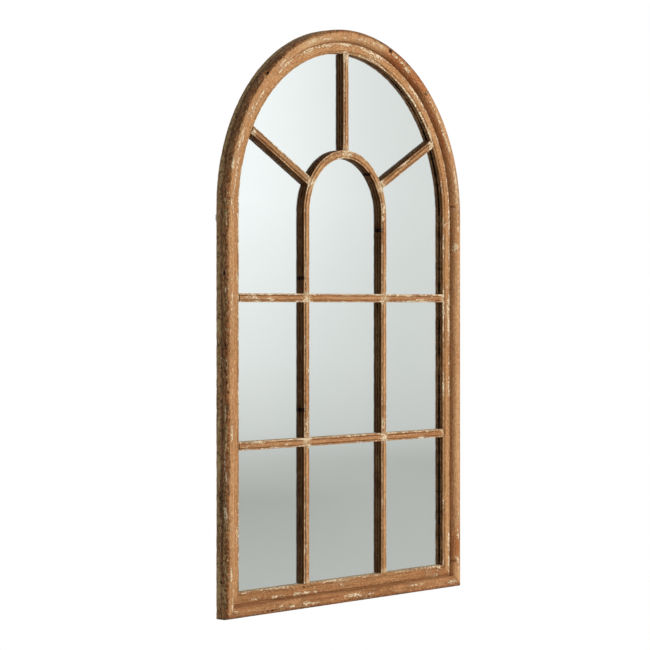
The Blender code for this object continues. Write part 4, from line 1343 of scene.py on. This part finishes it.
def wall_shades(height, stops):
    """The studio wall's grey at each height, its stops given as (height, level on screen)."""
    share = between(height, WALL_LOW, WALL_HIGH, "LINEAR")
    ramp = put(sky, "ShaderNodeValToRGB", {"Fac": share})
    while len(ramp.color_ramp.elements) < len(stops):
        ramp.color_ramp.elements.new(0.5)
    for element, (place, level) in zip(ramp.color_ramp.elements, stops):
        element.position = (place - WALL_LOW) / (WALL_HIGH - WALL_LOW)
        element.color = srgb(level * 0.98, level, level * (0.975 + 0.0003 * (level - 170)))
    return ramp.outputs["Color"]


def facing(vector, axis):
    """How far a direction points along an axis."""
    return put(sky, "ShaderNodeVectorMath", {0: vector, 1: axis}, operation="DOT_PRODUCT").outputs["Value"]


path = put(sky, "ShaderNodeLightPath").outputs
gaze = put(sky, "ShaderNodeTexCoord").outputs["Generated"]
ahead = work_out("MAXIMUM", facing(gaze, FORWARD), 0.05)
height = work_out("DIVIDE", facing(gaze, (0, 0, 1)), ahead)
aside = work_out("DIVIDE", facing(gaze, SIDEWAYS), ahead)
far = between(aside, -CORNER_SOFTNESS, CORNER_SOFTNESS)
wall = blend(far, wall_shades(height, NEAR_WALL), wall_shades(height, FAR_WALL))
mirrored = work_out("MAXIMUM", path["Is Glossy Ray"], path["Is Transmission Ray"])
lit = blend(mirrored, (AMBIENT, AMBIENT, AMBIENT, 1), wall)
sky.links.new(blend(path["Is Camera Ray"], lit, WHITE), sky.nodes["Background"].inputs["Color"])

for name, (energy, place) in LAMPS.items():
    lamp = show(name, bpy.data.lights.new(name, "AREA"))
    lamp.data.shape = "SQUARE"
    lamp.data.size = LAMP_SIZE
    lamp.data.energy = energy
    lamp.location = place
    lamp.rotation_euler = (LIT_SPOT - lamp.location).to_track_quat("-Z", "Y").to_euler()
    lamp.visible_glossy = False
    lamp.visible_transmission = False

bm = bmesh.new()
level = Matrix.Translation((0, 0, cad_box[0][2] - FLOOR_DROP))
bmesh.ops.create_circle(bm, cap_ends=True, segments=FLOOR_SIDES, radius=FLOOR_REACH, matrix=level)
floor = show("floor", mesh_of(bm, "floor"))
plaster, shader = new_finish("pale_floor")
spot = place_on(shader)
trowelled = mottle(spot, (3, 3, 3), 4.0)
dress(shader, blend(trowelled, srgb(244, 243, 240), srgb(236, 235, 231)), times(trowelled, 0.2, 0.7))
tree = shader.id_data
off = put(tree, "ShaderNodeVectorMath", {0: stretch(spot, (1, 1, 0))}, operation="LENGTH").outputs["Value"]
fade = times(between(off, FADE_FROM, FADE_TO), 0.5, 0.5)
seen = times(fade, put(tree, "ShaderNodeLightPath").outputs["Is Camera Ray"])
white = put(tree, "ShaderNodeEmission", {"Color": WHITE, "Strength": 1.0})
mixed = put(tree, "ShaderNodeMixShader", {0: seen, 1: shader.outputs[0], 2: white.outputs[0]})
tree.links.new(mixed.outputs[0], tree.nodes["Material Output"].inputs["Surface"])
floor.data.materials.append(plaster)

bpy.context.scene.view_settings.view_transform = "Standard"
